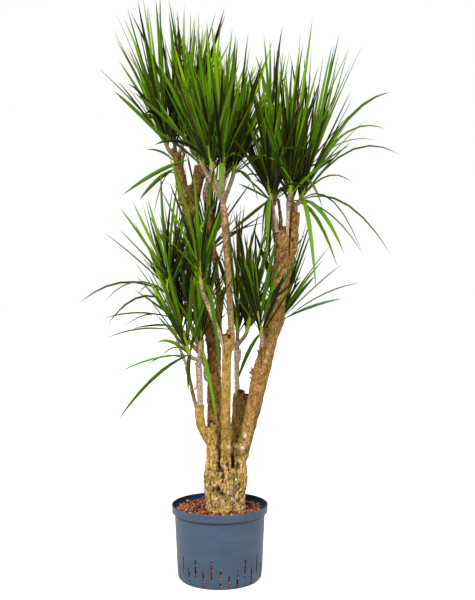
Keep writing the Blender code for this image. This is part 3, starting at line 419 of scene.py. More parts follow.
# Patterns, in cells a metre. Dust, grit and streaks are drawn coarser than they are, so that they show
DUST = 260  # specks on the pot, 3.8 mm
FLOW_MARKS = (9, 9, 26)  # drawn out round the pot, 38 mm high
INSIDE_MOTTLING = 30  # mottling of the painted shade on its inside, 33 mm
CLAY_CLOUDS, CLAY_PORES = 150, 700  # 6.7 mm and 1.4 mm
BARK_STREAKS, BARK_SPECKS, CORK_SPECKS = 280, 330, 300  # 3.0 to 3.6 mm
RING_WANDER = 110  # the waves in a leaf scar's ring, 9 mm


# Materials

def linear(hex_colour):
    shares = [int(hex_colour[i:i + 2], 16) / 255 for i in (0, 2, 4)]
    return [s / 12.92 if s <= 0.04045 else ((s + 0.055) / 1.055) ** 2.4 for s in shares]


def rgba(hex_colour):
    return (*linear(hex_colour), 1)


def feed(made, inputs):
    """Sets a node's inputs, and links those that are given as a socket."""
    for name, value in inputs.items():
        if isinstance(value, bpy.types.NodeSocket):
            made.id_data.links.new(value, made.inputs[name])
        else:
            made.inputs[name].default_value = value


def node(tree, kind, inputs=None, stops=None, **settings):
    """Adds a node with its settings, its inputs and, on a colour ramp, its stops. Gives its outputs."""
    made = tree.nodes.new("ShaderNode" + kind)
    for name, value in settings.items():
        setattr(made, name, value)
    feed(made, inputs or {})
    if stops:
        elements = made.color_ramp.elements
        while len(elements) < len(stops):
            elements.new(0.5)
        for element, (place, hex_colour) in zip(elements, stops):
            element.position = place
            element.color = rgba(hex_colour)
    return made.outputs


def new_material(name, hex_colour, roughness, ior=1.5, specular=0.5):
    """A material with its shader's own values set. Gives it, what adds nodes to it, and its shader."""
    made = bpy.data.materials.new(name)
    made.use_nodes = True
    shader = made.node_tree.nodes["Principled BSDF"]
    feed(shader, {"Base Color": rgba(hex_colour), "Roughness": roughness, "IOR": ior,
                  "Specular IOR Level": specular})
    return made, partial(node, made.node_tree), shader


def moulded_polypropylene():
    """Slate-blue polypropylene, injection moulded: a dull, even face with faint flow marks."""
    made, add, shader = new_material("moulded_polypropylene", "34475B", 0.4, 1.53, 0.48)
    place = add("TexCoord")["Object"]
    flow = add("Mapping", {"Vector": place, "Scale": FLOW_MARKS})["Vector"]
    cloud = add("TexNoise", {"Vector": flow, "Scale": 1.0, "Detail": 3, "Roughness": 0.6})["Fac"]
    tone = add("ValToRGB", {"Fac": cloud}, ((0.30, "2E3F53"), (0.55, "34475B"), (0.75, "3B4F63")))
    dust = add("TexNoise", {"Vector": place, "Scale": DUST, "Detail": 2})["Fac"]
    specks = add("MapRange", {"Value": dust, "From Min": 0.66, "From Max": 0.80})[0]
    skin = add("Mix", {0: specks, 6: tone["Color"], 7: rgba("506278")}, data_type="RGBA")[2]
    worn = add("MapRange", {"Value": cloud, "To Min": 0.30, "To Max": 0.44})[0]
    bump = add("Bump", {"Height": dust, "Strength": 0.12, "Distance": 0.3 * MM})["Normal"]
    feed(shader, {"Base Color": skin, "Roughness": worn, "Normal": bump})
    return made


def polypropylene_inside_shade():
    """The same polypropylene on the pot's inside, painted dark navy as the shade inside the pot, in mottled
    clouds.
    """
    made, add, shader = new_material("polypropylene_inside_shade", "1C2740", 0.55, 1.49)
    place = add("TexCoord")["Object"]
    cloud = add("TexNoise", {"Vector": place, "Scale": INSIDE_MOTTLING, "Detail": 3})["Fac"]
    tone = add("ValToRGB", {"Fac": cloud}, ((0.35, "162036"), (0.70, "222F4A")))["Color"]
    feed(shader, {"Base Color": tone})
    return made


def fired_clay(name, hex_colour, dark_hex):
    """Expanded clay, fired in a kiln: a dry, porous skin, paler where it is rubbed."""
    made, add, shader = new_material(name, hex_colour, 0.92)
    place = add("TexCoord")["Object"]
    cloud = add("TexNoise", {"Vector": place, "Scale": CLAY_CLOUDS, "Detail": 4, "Roughness": 0.65})["Fac"]
    tone = add("ValToRGB", {"Fac": cloud}, ((0.38, dark_hex), (0.53, hex_colour)))["Color"]
    pores = add("TexVoronoi", {"Vector": place, "Scale": CLAY_PORES})["Distance"]
    bump = add("Bump", {"Height": pores, "Strength": 0.5, "Distance": 0.5 * MM})["Normal"]
    feed(shader, {"Base Color": tone, "Normal": bump})
    return made


def ring_scars(add, grain, pitch):
    """How far each point is in its ring: 0 just above a scar, up to 1 under the next one."""
    wander = add("TexNoise", {"Vector": grain, "Scale": RING_WANDER, "Detail": 2})["Fac"]
    run = add("SeparateXYZ", {0: grain})["Z"]
    turns = add("Math", {0: run, 1: 1 / (pitch * MM)}, operation="MULTIPLY")[0]
    uneven = add("Math", {0: wander, 1: 1.3, 2: turns}, operation="MULTIPLY_ADD")[0]
    return add("Math", {0: uneven}, operation="FRACT")[0]


def bark_material(kind, bark):
    """Living bark: corky ridges over dark fissures, with leaf scars as rings on the thin stems.
    Its colour, grain direction and the painted shade of its hollows and crevices, with the fissures' own
    dark, come with the mesh, as they follow each limb."""
    made, add, shader = new_material("bark_" + kind, bark.ridge, 0.92, 1.45, 0.12)
    place = add("TexCoord")["Object"]
    own = add("Attribute", attribute_name="bark_colour")["Color"]
    grain = add("Attribute", attribute_name="grain")["Vector"]
    hollow = add("Attribute", attribute_name="hollow")["Fac"]
    drawn = add("Mapping", {"Vector": grain, "Scale": (1, 1, 0.5)})["Vector"]
    streak = add("TexNoise", {"Vector": drawn, "Scale": BARK_STREAKS, "Detail": 5, "Roughness": 0.72})["Fac"]
    speck = add("TexNoise", {"Vector": grain, "Scale": BARK_SPECKS, "Detail": 2, "Roughness": 0.6})["Fac"]
    light = add("MapRange", {"Value": streak, "From Min": 0.52, "From Max": 0.68, "To Max": 0.6})[0]
    skin = add("Mix", {0: light, 6: own, 7: rgba(bark.pale)}, data_type="RGBA")[2]
    dark = add("MapRange", {"Value": streak, "From Min": 0.33, "From Max": 0.48,
                            "To Min": 0.85, "To Max": 0.0})[0]
    spots = add("MapRange", {"Value": speck, "From Min": 0.64, "From Max": 0.70, "To Max": 0.85})[0]
    dots = add("TexVoronoi", {"Vector": place, "Scale": 1 / (DOT_PITCH * MM)})
    dot = add("MapRange", {"Value": dots["Distance"], "From Min": 0.10, "From Max": 0.20,
                           "To Min": 1.0, "To Max": 0.0})[0]
    number = add("SeparateColor", {0: dots["Color"]})[0]
    chosen = add("Math", {0: number, 1: 0.55}, operation="GREATER_THAN")[0]
    dotted = add("Math", {0: dot, 1: chosen}, operation="MULTIPLY")[0]
    darkening = [dark, spots, dotted]
    if bark.rings:
        phase = ring_scars(add, grain, bark.ring_pitch)
        ringed = add("Attribute", attribute_name="ringed")["Fac"]
        strong = add("Math", {0: ringed, 1: bark.rings}, operation="MULTIPLY")[0]
        lip = add("MapRange", {"Value": phase, "From Min": 0.35, "From Max": 0.95, "To Max": 0.55})[0]
        lip = add("Math", {0: lip, 1: strong}, operation="MULTIPLY")[0]
        skin = add("Mix", {0: lip, 6: skin, 7: rgba(bark.pale)}, data_type="RGBA")[2]
        scar = add("MapRange", {"Value": phase, "From Min": 0.05, "From Max": 0.30,
                                "To Min": 0.9, "To Max": 0.0})[0]
        darkening.append(add("Math", {0: scar, 1: strong}, operation="MULTIPLY")[0])
    # darkest of the bark's own dark marks and the painted shade in its hollows
    deep = hollow
    for shadow in darkening:
        deep = add("Math", {0: deep, 1: shadow}, operation="MAXIMUM")[0]
    shaded = add("Mix", {0: deep, 6: skin, 7: rgba(bark.hollow)}, data_type="RGBA")[2]
    height = add("Math", {0: streak, 1: deep}, operation="SUBTRACT")[0]
    bump = add("Bump", {"Height": height, "Strength": 0.7, "Distance": 1.6 * MM})["Normal"]
    feed(shader, {"Base Color": shaded, "Normal": bump})
    return made


def stem_material():
    """The young stem under each head: corky rings where leaves fell, green where they still clasp it."""
    made, add, shader = new_material("young_stem", "B09475", 0.75, 1.45, 0.15)
    green = add("Attribute", attribute_name="green")["Fac"]
    grain = add("Attribute", attribute_name="grain")["Vector"]
    speck = add("TexNoise", {"Vector": grain, "Scale": CORK_SPECKS, "Detail": 3})["Fac"]
    cork = add("ValToRGB", {"Fac": speck}, ((0.38, "745844"), (0.60, "C2A68C")))["Color"]
    phase = ring_scars(add, grain, RING_PITCH / MM)
    scar = add("MapRange", {"Value": phase, "From Min": 0.05, "From Max": 0.35,
                            "To Min": 0.85, "To Max": 0.0})[0]
    ringed = add("Mix", {0: scar, 6: cork, 7: rgba("3C281C")}, data_type="RGBA")[2]
    skin = add("Mix", {0: green, 6: ringed, 7: rgba("8E9C2C")}, data_type="RGBA")[2]
    bump = add("Bump", {"Height": speck, "Strength": 0.4, "Distance": 0.6 * MM})["Normal"]
    feed(shader, {"Base Color": skin, "Normal": bump})
    return made


def leaf_material(name, hex_colour, roughness):
    """Waxy leaf skin: an even colour of its own, with fine veins along it that break its gloss."""
    made, add, shader = new_material(name, hex_colour, roughness, 1.42, 0.08)
    lengthwise = add("UVMap", uv_map="blade")["UV"]
    drawn = add("Mapping", {"Vector": lengthwise, "Scale": (14, 3, 1)})["Vector"]
    veins = add("TexNoise", {"Vector": drawn, "Scale": 1.0, "Detail": 2})["Fac"]
    gloss = add("MapRange", {"Value": veins, "To Min": roughness - 0.08, "To Max": roughness + 0.12})
    feed(shader, {"Roughness": gloss[0]})
    return made


# Making and finishing pieces

def activate(thing):
    bpy.ops.object.select_all(action="DESELECT")
    thing.select_set(True)
    bpy.context.view_layer.objects.active = thing


def apply_modifier(thing, kind, **settings):
    activate(thing)
    made = thing.modifiers.new(kind.lower(), kind)
    for name, value in settings.items():
        setattr(made, name, value)
    bpy.ops.object.modifier_apply(modifier=made.name)


def new_piece(name, mesh, nodes):
    """Puts a finished mesh in the scene as a piece that stands for those nodes."""
    piece = bpy.data.objects.get(name) or bpy.data.objects.new(name, mesh)
    if piece.name not in bpy.context.scene.collection.objects:
        bpy.context.scene.collection.objects.link(piece)
    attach(piece, "root")
    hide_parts(*nodes)
    return piece


def mesh_from(name, verts, faces):
    mesh = bpy.data.meshes.new(name)
    mesh.from_pydata(verts, [], faces)
    return mesh


def turned_shell(name, sides, profile):
    """A disc drawn through the radii and heights of a profile, one ring after the other."""
    (radius, height), *rest = profile
    bpy.ops.object.select_all(action="DESELECT")
    bpy.ops.mesh.primitive_circle_add(
        vertices=sides, radius=radius, fill_type="NGON", location=(0, 0, height))
    bpy.ops.object.transform_apply(location=True)
    piece = bpy.context.active_object
    piece.name = piece.data.name = name
    bpy.ops.object.mode_set(mode="EDIT")
    bpy.ops.mesh.select_all(action="SELECT")
    for next_radius, next_height in rest:
        bpy.ops.mesh.extrude_region_move(TRANSFORM_OT_translate={"value": (0, 0, next_height - height)})
        share = next_radius / radius
        bpy.ops.transform.resize(value=(share, share, 1), center_override=(0, 0, next_height))
        radius, height = next_radius, next_height
    bpy.ops.mesh.select_all(action="SELECT")
    bpy.ops.mesh.normals_make_consistent(inside=False)
    bpy.ops.object.mode_set(mode="OBJECT")
    return piece


def finish_with(mesh, *materials):
    mesh.materials.clear()
    for material in materials:
        mesh.materials.append(material)


# Pot

def pot_profile():
    """Radius and height, from the base up the outside, over the rim and down the inside."""
    base, rim, foot = POT_BASE_D / 2, POT_RIM_D / 2, POT_HEIGHT - RIM_BAND
    outer = [(POT_FOOT_D / 2, POT_FOOT_Z), (POT_LOW_D / 2, POT_LOW_Z), (POT_WAIST_D / 2, POT_WAIST_Z),
             (POT_SHOULDER_D / 2 - 0.6 * MM, foot - 8 * MM), (POT_SHOULDER_D / 2 - 0.4 * MM, foot - 1 * MM)]
    band = [(rim - 2.2 * MM, foot), (rim - 1.2 * MM, foot + 1.2 * MM), (rim - 1.0 * MM, foot + 10 * MM),
            (rim - 0.2 * MM, POT_HEIGHT - 3 * MM), (rim - 0.3 * MM, POT_HEIGHT - 0.8 * MM),
            (rim - 1.0 * MM, POT_HEIGHT), (rim - 1.9 * MM, POT_HEIGHT - 0.2 * MM),
            (rim - POT_WALL, POT_HEIGHT - 2 * MM)]
    inner = [(radius - POT_WALL, height) for radius, height in outer[::-1]]
    inner[0] = (rim - POT_WALL - 1.0 * MM, foot + 4 * MM)
    return [(base, 0)] + outer + band + inner + [(base - POT_WALL, POT_FLOOR)]


def make_pot():
    """A disc drawn up the outside, over the lip and down the inside, then cut by its slots."""
    pot = turned_shell("culture_pot", POT_SIDES, pot_profile())
    cutter = slot_cutter()
    apply_modifier(pot, "BOOLEAN", operation="DIFFERENCE", object=cutter, solver="EXACT")
    bpy.data.objects.remove(cutter, do_unlink=True)
    activate(pot)
    bpy.ops.object.shade_smooth_by_angle(angle=math.radians(32))
    finish_with(pot.data, moulded_polypropylene(), polypropylene_inside_shade())
    # the inside's faces take the painted shade
    for face in pot.data.polygons:
        inside = face.normal.xy.dot(face.center.xy) < INSIDE_ANGLE * face.center.xy.length
        face.material_index = int(inside and face.center.z < POT_HEIGHT - 2.5 * MM)
    new_piece(pot.name, pot.data, ["pot"])


def slots():
    """Angle, lower and upper end of every slot."""
    for row, (first, low, high) in enumerate((LOW_SLOT, HIGH_SLOT)):
        for count in range(SLOTS_A_ROW):
            ends = SHORT_SLOT if row == 1 and count == 0 else (low, high)
            yield math.radians(first + SLOT_PITCH * count), *ends


def slot_cutter():
    """One upright bar for each slot, joined."""
    bars = []
    for turn, low, high in slots():
        bpy.ops.mesh.primitive_cube_add(size=1, location=(0, -POT_WAIST_D / 2, (low + high) / 2))
        bar = bpy.context.active_object
        bar.scale = (SLOT_WIDTH, SLOT_DEPTH, high - low)
        bpy.ops.object.transform_apply(location=True, rotation=False, scale=True)
        bar.data.transform(Matrix.Rotation(turn, 4, "Z"))
        bars.append(bar)
    for bar in bars:
        bar.select_set(True)
    bpy.context.view_layer.objects.active = bars[0]
    bpy.ops.object.join()
    return bars[0]


# Clay granules

def pebble_shape(dice):
    """Corners and faces of one lumpy pebble a metre across."""
    shape = bmesh.new()
    bmesh.ops.create_icosphere(shape, subdivisions=2, radius=0.5)
    shift = Vector((dice.uniform(0, 90), dice.uniform(0, 90), dice.uniform(0, 90)))
    for vert in shape.verts:
        vert.co *= 1 + 0.26 * noise.noise(vert.co * 2.2 + shift) + 0.10 * noise.noise(vert.co * 6 + shift)
    shape.verts.index_update()
    corners = np.array([vert.co for vert in shape.verts])
    faces = [[vert.index for vert in face.verts] for face in shape.faces]
    shape.free()
    return corners, np.array(faces)


def inner_radius(height):
    """The pot's inner face at a height."""
    heights = [POT_FOOT_Z, POT_LOW_Z, POT_WAIST_Z, POT_HEIGHT - RIM_BAND]
    radii = [POT_FOOT_D / 2, POT_LOW_D / 2, POT_WAIST_D / 2, POT_SHOULDER_D / 2]
    return float(np.interp(height, heights, radii)) - POT_WALL


def bed_places(dice):
    """Middles of the pebbles on top of the bed, in spirals, the upper ones over the gaps."""
    spots = []
    edge = inner_radius(BED_TOP) - EDGE_CLEAR
    count = int(math.pi * edge ** 2 / PEBBLE_PITCH ** 2)
    for layer, (lift, share) in enumerate(BED_LAYERS):
        for step in range(count):
            radius = edge * math.sqrt((step + 0.5) / count)
            turn = TURN * (step + 0.37 * layer) + layer
            if dice.random() > share:
                continue
            x = radius * math.cos(turn) + dice.uniform(-JITTER, JITTER)
            y = radius * math.sin(turn) + dice.uniform(-JITTER, JITTER)
            if math.hypot(x, y) > edge or math.hypot(x - TRUNK_X, y) < TRUNK_ROOM:
                continue
            rise = (BED_RISE * (1 - radius / edge) + BED_BACK_RISE) * np.clip(0.15 + y / edge, 0, 1)
            rise += BED_UNEVEN * noise.noise(Vector((x, y, 0)) / UNEVEN_SIZE)
            rise += BED_LEFT_RISE * max(0, -x / edge)
            spots.append((x, y, BED_TOP - 0.0040 + lift + rise))
    return spots


def wall_places(dice):
    """Middles of the pebbles that show through the slots, four at each height up each slot."""
    spots = []
    for turn, low, high in slots():
        for row in range(round((high - low + 0.010) / WALL_PITCH) + 1):
            height = low - 0.004 + WALL_PITCH * row + dice.uniform(-WALL_JITTER, WALL_JITTER)
            height = max(height, LOWEST_PEBBLE)
            turned = [(turn + dice.uniform(*aside), depth) for aside, depth in WALL_PEBBLES]
            for angle, depth in turned:
                radius = inner_radius(height) - depth - dice.uniform(0, 1.0) * MM
                spots.append((radius * math.sin(angle), -radius * math.cos(angle), height))
    return spots


def make_granules():
    """Loose pebbles, joined, round a core of the same clay that closes the gaps between them, painted near
    black as the shade in those gaps.
    """
    dice = random.Random(SEED + 1)
    kinds = [pebble_shape(dice) for _ in range(PEBBLE_KINDS)]
    corners, faces, tints = [], [], []
    total = 0
    on_top = bed_places(dice)
    for count, place in enumerate(on_top + wall_places(dice)):
        chances = [clay[3] if count < len(on_top) else clay[4] for clay in CLAYS]
        shape, sides = kinds[dice.randrange(PEBBLE_KINDS)]
        size = dice.uniform(*PEBBLE_D)
        squash = Matrix.Diagonal((size, size * dice.uniform(0.75, 1), size * dice.uniform(0.7, 0.9)))
        spin = Matrix.Rotation(dice.uniform(0, 7), 3, Vector([dice.uniform(-1, 1) for _ in range(3)]))
        corners.append(shape @ np.array(spin @ squash).T + np.array(place))
        faces.append(sides + total)
        tints += [dice.choices(range(len(CLAYS)), chances)[0]] * len(sides)
        total += len(shape)
    mesh = mesh_from("clay_pebbles", np.concatenate(corners).tolist(), np.concatenate(faces).tolist())
    finish_with(mesh, *(fired_clay(*clay[:3]) for clay in CLAYS))
    mesh.polygons.foreach_set("material_index", tints)
    mesh.shade_smooth()
    new_piece("clay_pebbles", mesh, ["granules"])
    make_bed_core()


def make_bed_core():
    """The bed's depth under the loose pebbles, painted near black as the shade in their gaps."""
    low = POT_FLOOR + GAP
    profile = [(inner_radius(POT_FOOT_Z) - CORE_CLEAR_LOW, low)]
    for step in range(1, CORE_RINGS + 1):
        height = low + (BED_CORE_TOP - low) * step / CORE_RINGS
        clear = CORE_CLEAR_LOW if height < CORE_WIDENS else CORE_CLEAR
        profile.append((inner_radius(height) - clear, height))
    core = turned_shell("granule_bed", CORE_SIDES, profile)
    finish_with(core.data, fired_clay("fired_clay_painted_shade", "26120C", "0E0705"))
    new_piece(core.name, core.data, ["granules"])


# Bark

def route(limb, steps, back=0.0):
    """Points along a limb's bowed axis, which may start further back inside what carries it."""
    foot, tip, bow = Vector(limb.foot), Vector(limb.tip), Vector((*limb.bow, 0))
    foot = foot - (tip - foot).normalized() * back
    return [foot.lerp(tip, t) + bow * (4 * t * (1 - t)) for t in (i / steps for i in range(steps + 1))]


def radius_at(limb, share):
    """Radius of a limb, with the bulge of a lobe of the trunk or the knob at a cane's end."""
    radius = (limb.foot_d + (limb.tip_d - limb.foot_d) * share) / 2
    if limb in LOBES:
        return radius * (1 + LOBE_BULGE * math.exp(-((share - BULGE_AT) / BULGE_WIDTH) ** 2))
    return radius * (1 + limb.knob * math.exp(-((share - 1) / KNOB_WIDTH) ** 2))


def steps_of(limb, step):
    """How many stretches of about that length a limb is drawn in."""
    return max(4, round((Vector(limb.tip) - Vector(limb.foot)).length / step))


def tip_direction(limb):
    points = route(limb, steps_of(limb, TIP_STEP))
    return (points[-1] - points[-2]).normalized()


def limbs_of(kind):
    """Every limb, lobe and knot with that bark, each with its length inside what carries it."""
    found = [(limb, SEAT_DEPTH if name in ON_TRUNK else 0.0)
             for name, limb in LIMBS.items() if limb.bark == kind]
    return found + [(limb, 0.0) for limb in LOBES + KNOTS if limb.bark == kind]


def fused_tubes(name, limbs, voxel):
    """The limbs as round tubes along their routes, fused into one skin."""
    path = bpy.data.curves.new(name, "CURVE")
    path.dimensions = "3D"
    path.bevel_depth = 1
    path.bevel_resolution = 4
    path.use_fill_caps = True
    for limb, back in limbs:
        steps = steps_of(limb, LIMB_STEP)
        points = route(limb, steps, back)
        spline = path.splines.new("POLY")
        spline.points.add(steps)
        for place, (point, knot) in enumerate(zip(points, spline.points)):
            knot.co = (*point, 1)
            knot.radius = radius_at(limb, place / steps)
    tubes = bpy.data.objects.new(name, path)
    bpy.context.scene.collection.objects.link(tubes)
    activate(tubes)
    bpy.ops.object.convert(target="MESH")
    apply_modifier(tubes, "WELD", merge_threshold=0.05 * MM)
    apply_modifier(tubes, "REMESH", mode="VOXEL", voxel_size=voxel)
    apply_modifier(tubes, "SMOOTH", factor=0.6, iterations=3)
    return tubes


def limb_frames(limbs):
    """Each limb's short stretches, as rows: start, end, radius, two side directions, run, number."""
    rows = []
    for number, (limb, back) in enumerate(limbs):
        steps = steps_of(limb, FRAME_STEP)
        points = route(limb, steps, back)
        along = (points[-1] - points[0]).normalized()
        side = along.cross(Vector((0, 1, 0))).normalized()
        run = 0.0
        for place, (start, end) in enumerate(zip(points, points[1:])):
            radius = radius_at(limb, (place + 0.5) / steps)
            rows.append((*start, *end, radius, *side, *along.cross(side), run, number))
            run += (end - start).length
    return np.array(rows)


def beside_segments(points, rows):
    """For each point and segment: how far along it the nearest spot is, and the offset from there."""
    starts, ends = rows[:, 0:3], rows[:, 3:6]
    along = ends - starts
    lengths = np.maximum((along * along).sum(1), 1e-12)
    offset = points[:, None, :] - starts[None]
    share = np.clip((offset * along[None]).sum(2) / lengths, 0, 1)
    return share, offset - share[:, :, None] * along[None]


def nearest_limb(points, rows):
    """For each point: where it is beside its limb and along it, the limb's number and its radius."""
    lengths = np.linalg.norm(rows[:, 3:6] - rows[:, 0:3], axis=1)
    found = []
    for part in np.array_split(points, max(1, len(points) // 4000)):
        share, away = beside_segments(part, rows)
        best = (np.linalg.norm(away, axis=2) / rows[:, 6][None]).argmin(1)
        take = np.arange(len(part))
        aside, chosen = away[take, best], rows[best]
        found.append(np.column_stack((
            (aside * chosen[:, 7:10]).sum(1), (aside * chosen[:, 10:13]).sum(1),
            chosen[:, 13] + share[take, best] * lengths[best], chosen[:, 14], chosen[:, 6])))
    return np.concatenate(found)


def noise_at(points, size, seed=0.0):
    """Smooth noise from -1 to 1, with that size in metres along each axis."""
    scaled = points / np.asarray(size) + seed
    return np.array([noise.noise(Vector(point)) for point in scaled])


def cells_at(points, size):
    """How far inside its rounded cell of that size each point is."""
    nearest = (noise.voronoi(Vector(point))[0] for point in points / np.asarray(size))
    return np.array([distances[1] - distances[0] for distances in nearest])


def mixed(first, second, share):
    return first + (second - first) * np.clip(share, 0, 1)[:, None]


def shade(hex_colour):
    return np.array(rgba(hex_colour))


def pits(points, lump, sand):
    """How far each point is from each cavity and crevice in front, with its width and depth."""
    across, up = points[:, 0], points[:, 2]
    for place, level, width, depth in CAVITIES:
        away = np.hypot(across - place, (up - level) * 0.8) + 2 * MM * sand + 1 * MM * lump
        yield np.maximum(away, 0), width, depth
    for place, low, high, width, depth in CREVICES:
        beyond = np.maximum(np.maximum(low - up, up - high), 0)
        yield np.hypot(across - place + 1.2 * MM * lump, beyond * 0.4), width, depth


def bark_relief(points, bark, kind):
    """Height of the bark over the plain limb in metres, its colour, and how dark it is in its fissures,
    nodule gaps, grit pits, hollows and crevices: partly their own dark, partly painted shade.
    Low on the canes it is as coarse as the trunk's, and turns into their own further up."""
    base = BARKS["base"]
    up = np.ones(len(points)) if kind == "base" else (points[:, 2] - BLEND_LOW) / (BLEND_HIGH - BLEND_LOW)
    up = np.clip(up, 0, 1)
    lumps, nodules, fissures, grit = (
        getattr(base, part) * TRUNK_SHARE * (1 - up) + getattr(bark, part) * up
        for part in ("lumps", "nodules", "fissures", "grit"))
    lump = noise_at(points, LUMP_SIZE) + 0.5 * noise_at(points, LUMP_SIZE * 0.45, 5.0)
    fissure = np.clip(1 - np.abs(noise_at(points, FISSURE_SIZE, 2.0)) / 0.12, 0, 1)
    inside = cells_at(points, NODULE_SIZE)
    sand = noise_at(points, GRIT_SIZE, 3.0)
    height = lumps * lump - fissures * fissure + nodules * (1 - np.exp(-inside / 0.22) - 0.5) + grit * sand
    knobbly = np.minimum(1, nodules)
    # dark in the fissures, between the nodules and in grit pits: partly their own dark, partly painted shade
    hollow = fissure * np.minimum(1, fissures) + 0.65 * np.clip(1 - inside / 0.16, 0, 1) * knobbly
    hollow = hollow * np.clip(1.0 - 0.9 * lump, 0, 1) + np.clip(-1.4 * sand - 0.45, 0, 0.7) * knobbly
    front = np.clip(-points[:, 1] / FRONT_DEPTH, 0, 1)
    for away, width, depth in pits(points, lump, sand):
        pit = np.exp(-(away / width) ** 2) * front
        height -= depth * pit
        # the hollows and crevices are painted dark as shade
        hollow += np.clip(4 * pit - 1.2, 0, 2)
    tone = 0.56 + 1.0 * noise_at(points, TONE_SIZE, 12.0) + 0.5 * lump + 0.35 * sand
    low, high = (mixed(shade(its.mossy), shade(its.ridge), tone) for its in (base, bark))
    colour = mixed(mixed(low, high, up), shade(base.pale), flaking(points, kind, front, sand))
    return height * MM, colour, np.clip(hollow, 0, 1)


def flaking(points, kind, front, sand):
    """How far the bark has flaked off: all over low on the trunk, and in a few patches in front."""
    bare = noise_at(points, BARE_SIZE, 7.0)
    share = np.clip((FLAKED_TOP - points[:, 2]) / FLAKED_FADE, 0.15, 1) if kind == "base" else FLAKED_HIGH
    flaked = (bare * 3.4 - 1.45) * share
    for across, level, size in BARE_PATCHES:
        away = np.hypot(points[:, 0] - across, (points[:, 2] - level) * 0.8)
        away = away + 1.6 * MM * sand + 1.5 * MM * bare
        flaked = np.maximum(flaked, 1.3 * (1 - away / size) * front)
    return flaked


def cut_ends(points, limbs):
    """How far each point belongs to a cut end: 1 on the face of a stub, 0 elsewhere."""
    share = np.zeros(len(points))
    for limb, _ in limbs:
        tip = np.array(limb.tip)
        along = np.array(tip_direction(limb))
        offset = points - tip
        ahead = offset @ along
        aside = np.linalg.norm(offset - ahead[:, None] * along[None], axis=1)
        radius = radius_at(limb, 1)
        on_face = (np.abs(ahead) < CUT_FACE) & (aside < radius * 0.9)
        share[on_face] = np.maximum(share[on_face], 1 - aside[on_face] / radius * 0.5)
    return share


def write_attribute(mesh, name, kind, values):
    field = {"FLOAT": "value", "FLOAT_VECTOR": "vector", "FLOAT_COLOR": "color"}[kind]
    mesh.attributes.new(name, kind, "POINT").data.foreach_set(field, np.asarray(values, np.float32).ravel())


def vertex_array(mesh, field):
    values = np.zeros(len(mesh.vertices) * 3)
    mesh.vertices.foreach_get(field, values)
    return values.reshape(-1, 3)


def make_bark(kind, bark):
    """All limbs of one bark as one skin, with its relief cut in, and what its material reads."""
    limbs = limbs_of(kind)
    piece = fused_tubes(bark.piece, limbs, bark.voxel)
    mesh = piece.data
    points, normals = vertex_array(mesh, "co"), vertex_array(mesh, "normal")
    across, beside, run, number, radius = nearest_limb(points, limb_frames(limbs)).T
    height, colour, hollow = bark_relief(points, bark, kind)
    cut = cut_ends(points, limbs)
    height = np.clip(height, -radius * MOST_RELIEF, radius * MOST_RELIEF) - cut * CUT_SUNK
    mesh.vertices.foreach_set("co", (points + normals * height[:, None]).ravel())
    mesh.update()
    ringed = np.array([SMOOTH_RINGS if limb is LIMBS[SMOOTH_LIMB] else 1.0 for limb, _ in limbs])
    ringed = ringed[number.astype(int)]
    if kind == "pale":
        colour = mixed(colour, shade(BLEACHED), (ringed - SMOOTH_RINGS) * BLEACHING)
    write_attribute(mesh, "grain", "FLOAT_VECTOR", np.column_stack((across, beside, run + number)))
    # how dark each point is: the fissures' own dark, painted shade in hollows and crevices, and the cut faces
    write_attribute(mesh, "hollow", "FLOAT", np.clip(hollow * 0.9 + cut * 0.9, 0, 1))
    write_attribute(mesh, "ringed", "FLOAT", ringed)
    write_attribute(mesh, "bark_colour", "FLOAT_COLOR", colour)
    finish_with(mesh, bark_material(kind, bark))
    mesh.shade_smooth()
    names = [name for name, limb in LIMBS.items() if limb.bark == kind]
    new_piece(bark.piece, mesh, names or ["trunk"])


# Heads and their young stems

def stem_points(mass):
    """Where a mass's short stem starts, just clear of its bough's tip, and where it forks."""
    limb = LIMBS[mass.bough]
    along = tip_direction(limb)
    start = Vector(limb.tip) + along * GAP
    return start, start + along * STEM_LENGTH


def heads_of(mass):
    """Foot and axis of each head of a mass."""
    fork = stem_points(mass)[1]
    found = []
    for head in mass.heads:
        twig = (Vector(head) - fork).normalized()
        found.append((Vector(head), (twig * NECK_LEAN + UP * (1 - NECK_LEAN)).normalized()))
    return found


def eased(points, count):
    """Points on a smooth curve through the given ones."""
    full = [points[0] * 2 - points[1], *points, points[-1] * 2 - points[-2]]
    found = []
    for place in range(len(points) - 1):
        a, b, c, d = full[place:place + 4]
        for step in range(count):
            t = step / count
            found.append(0.5 * (2 * b + (c - a) * t + (2 * a - 5 * b + 4 * c - d) * t ** 2
                                + (3 * b - a - 3 * c + d) * t ** 3))
    return found + [points[-1]]


def stem_rows(mass, foot, axis):
    """The rows of one young stem: its run, middle, radius, two side directions, and how green it is."""
    start, fork = stem_points(mass)
    first_r = min(LIMBS[mass.bough].tip_d * 0.47, TWIG_D / 2 * 1.15)
    sunk = start - (fork - start).normalized() * STEM_SUNK
    line = eased([sunk, fork, foot, foot + axis * NECK_LENGTH * 0.95], STEM_CURVE)
    runs = np.cumsum([0] + [(b - a).length for a, b in zip(line, line[1:])])
    neck_at, end = runs[2 * STEM_CURVE], runs[-1]
    places = np.linspace(0, end, int(end / STEM_ROW))
    centres = np.column_stack([np.interp(places, runs, [p[i] for p in line]) for i in range(3)])
    slopes = np.gradient(centres, axis=0)
    last = len(places) - 1
    for place, centre in zip(places, centres):
        radius = np.interp(place, (0, 0.02, neck_at, end),
                           (first_r, TWIG_D / 2, TWIG_D / 2 * 0.92, HEAD_D / 2))
        radius *= 1 + RING_RELIEF * (place / RING_PITCH % 1) ** 2
        ahead = Vector(slopes[min(int(place / end * last), last)])
        across = ahead.cross(Vector((0, 1, 0))).normalized()
        green = np.clip((place - neck_at + 0.001) / GREEN_FADE, 0, 1)
        yield place, Vector(centre), radius, across, ahead.normalized().cross(across), green


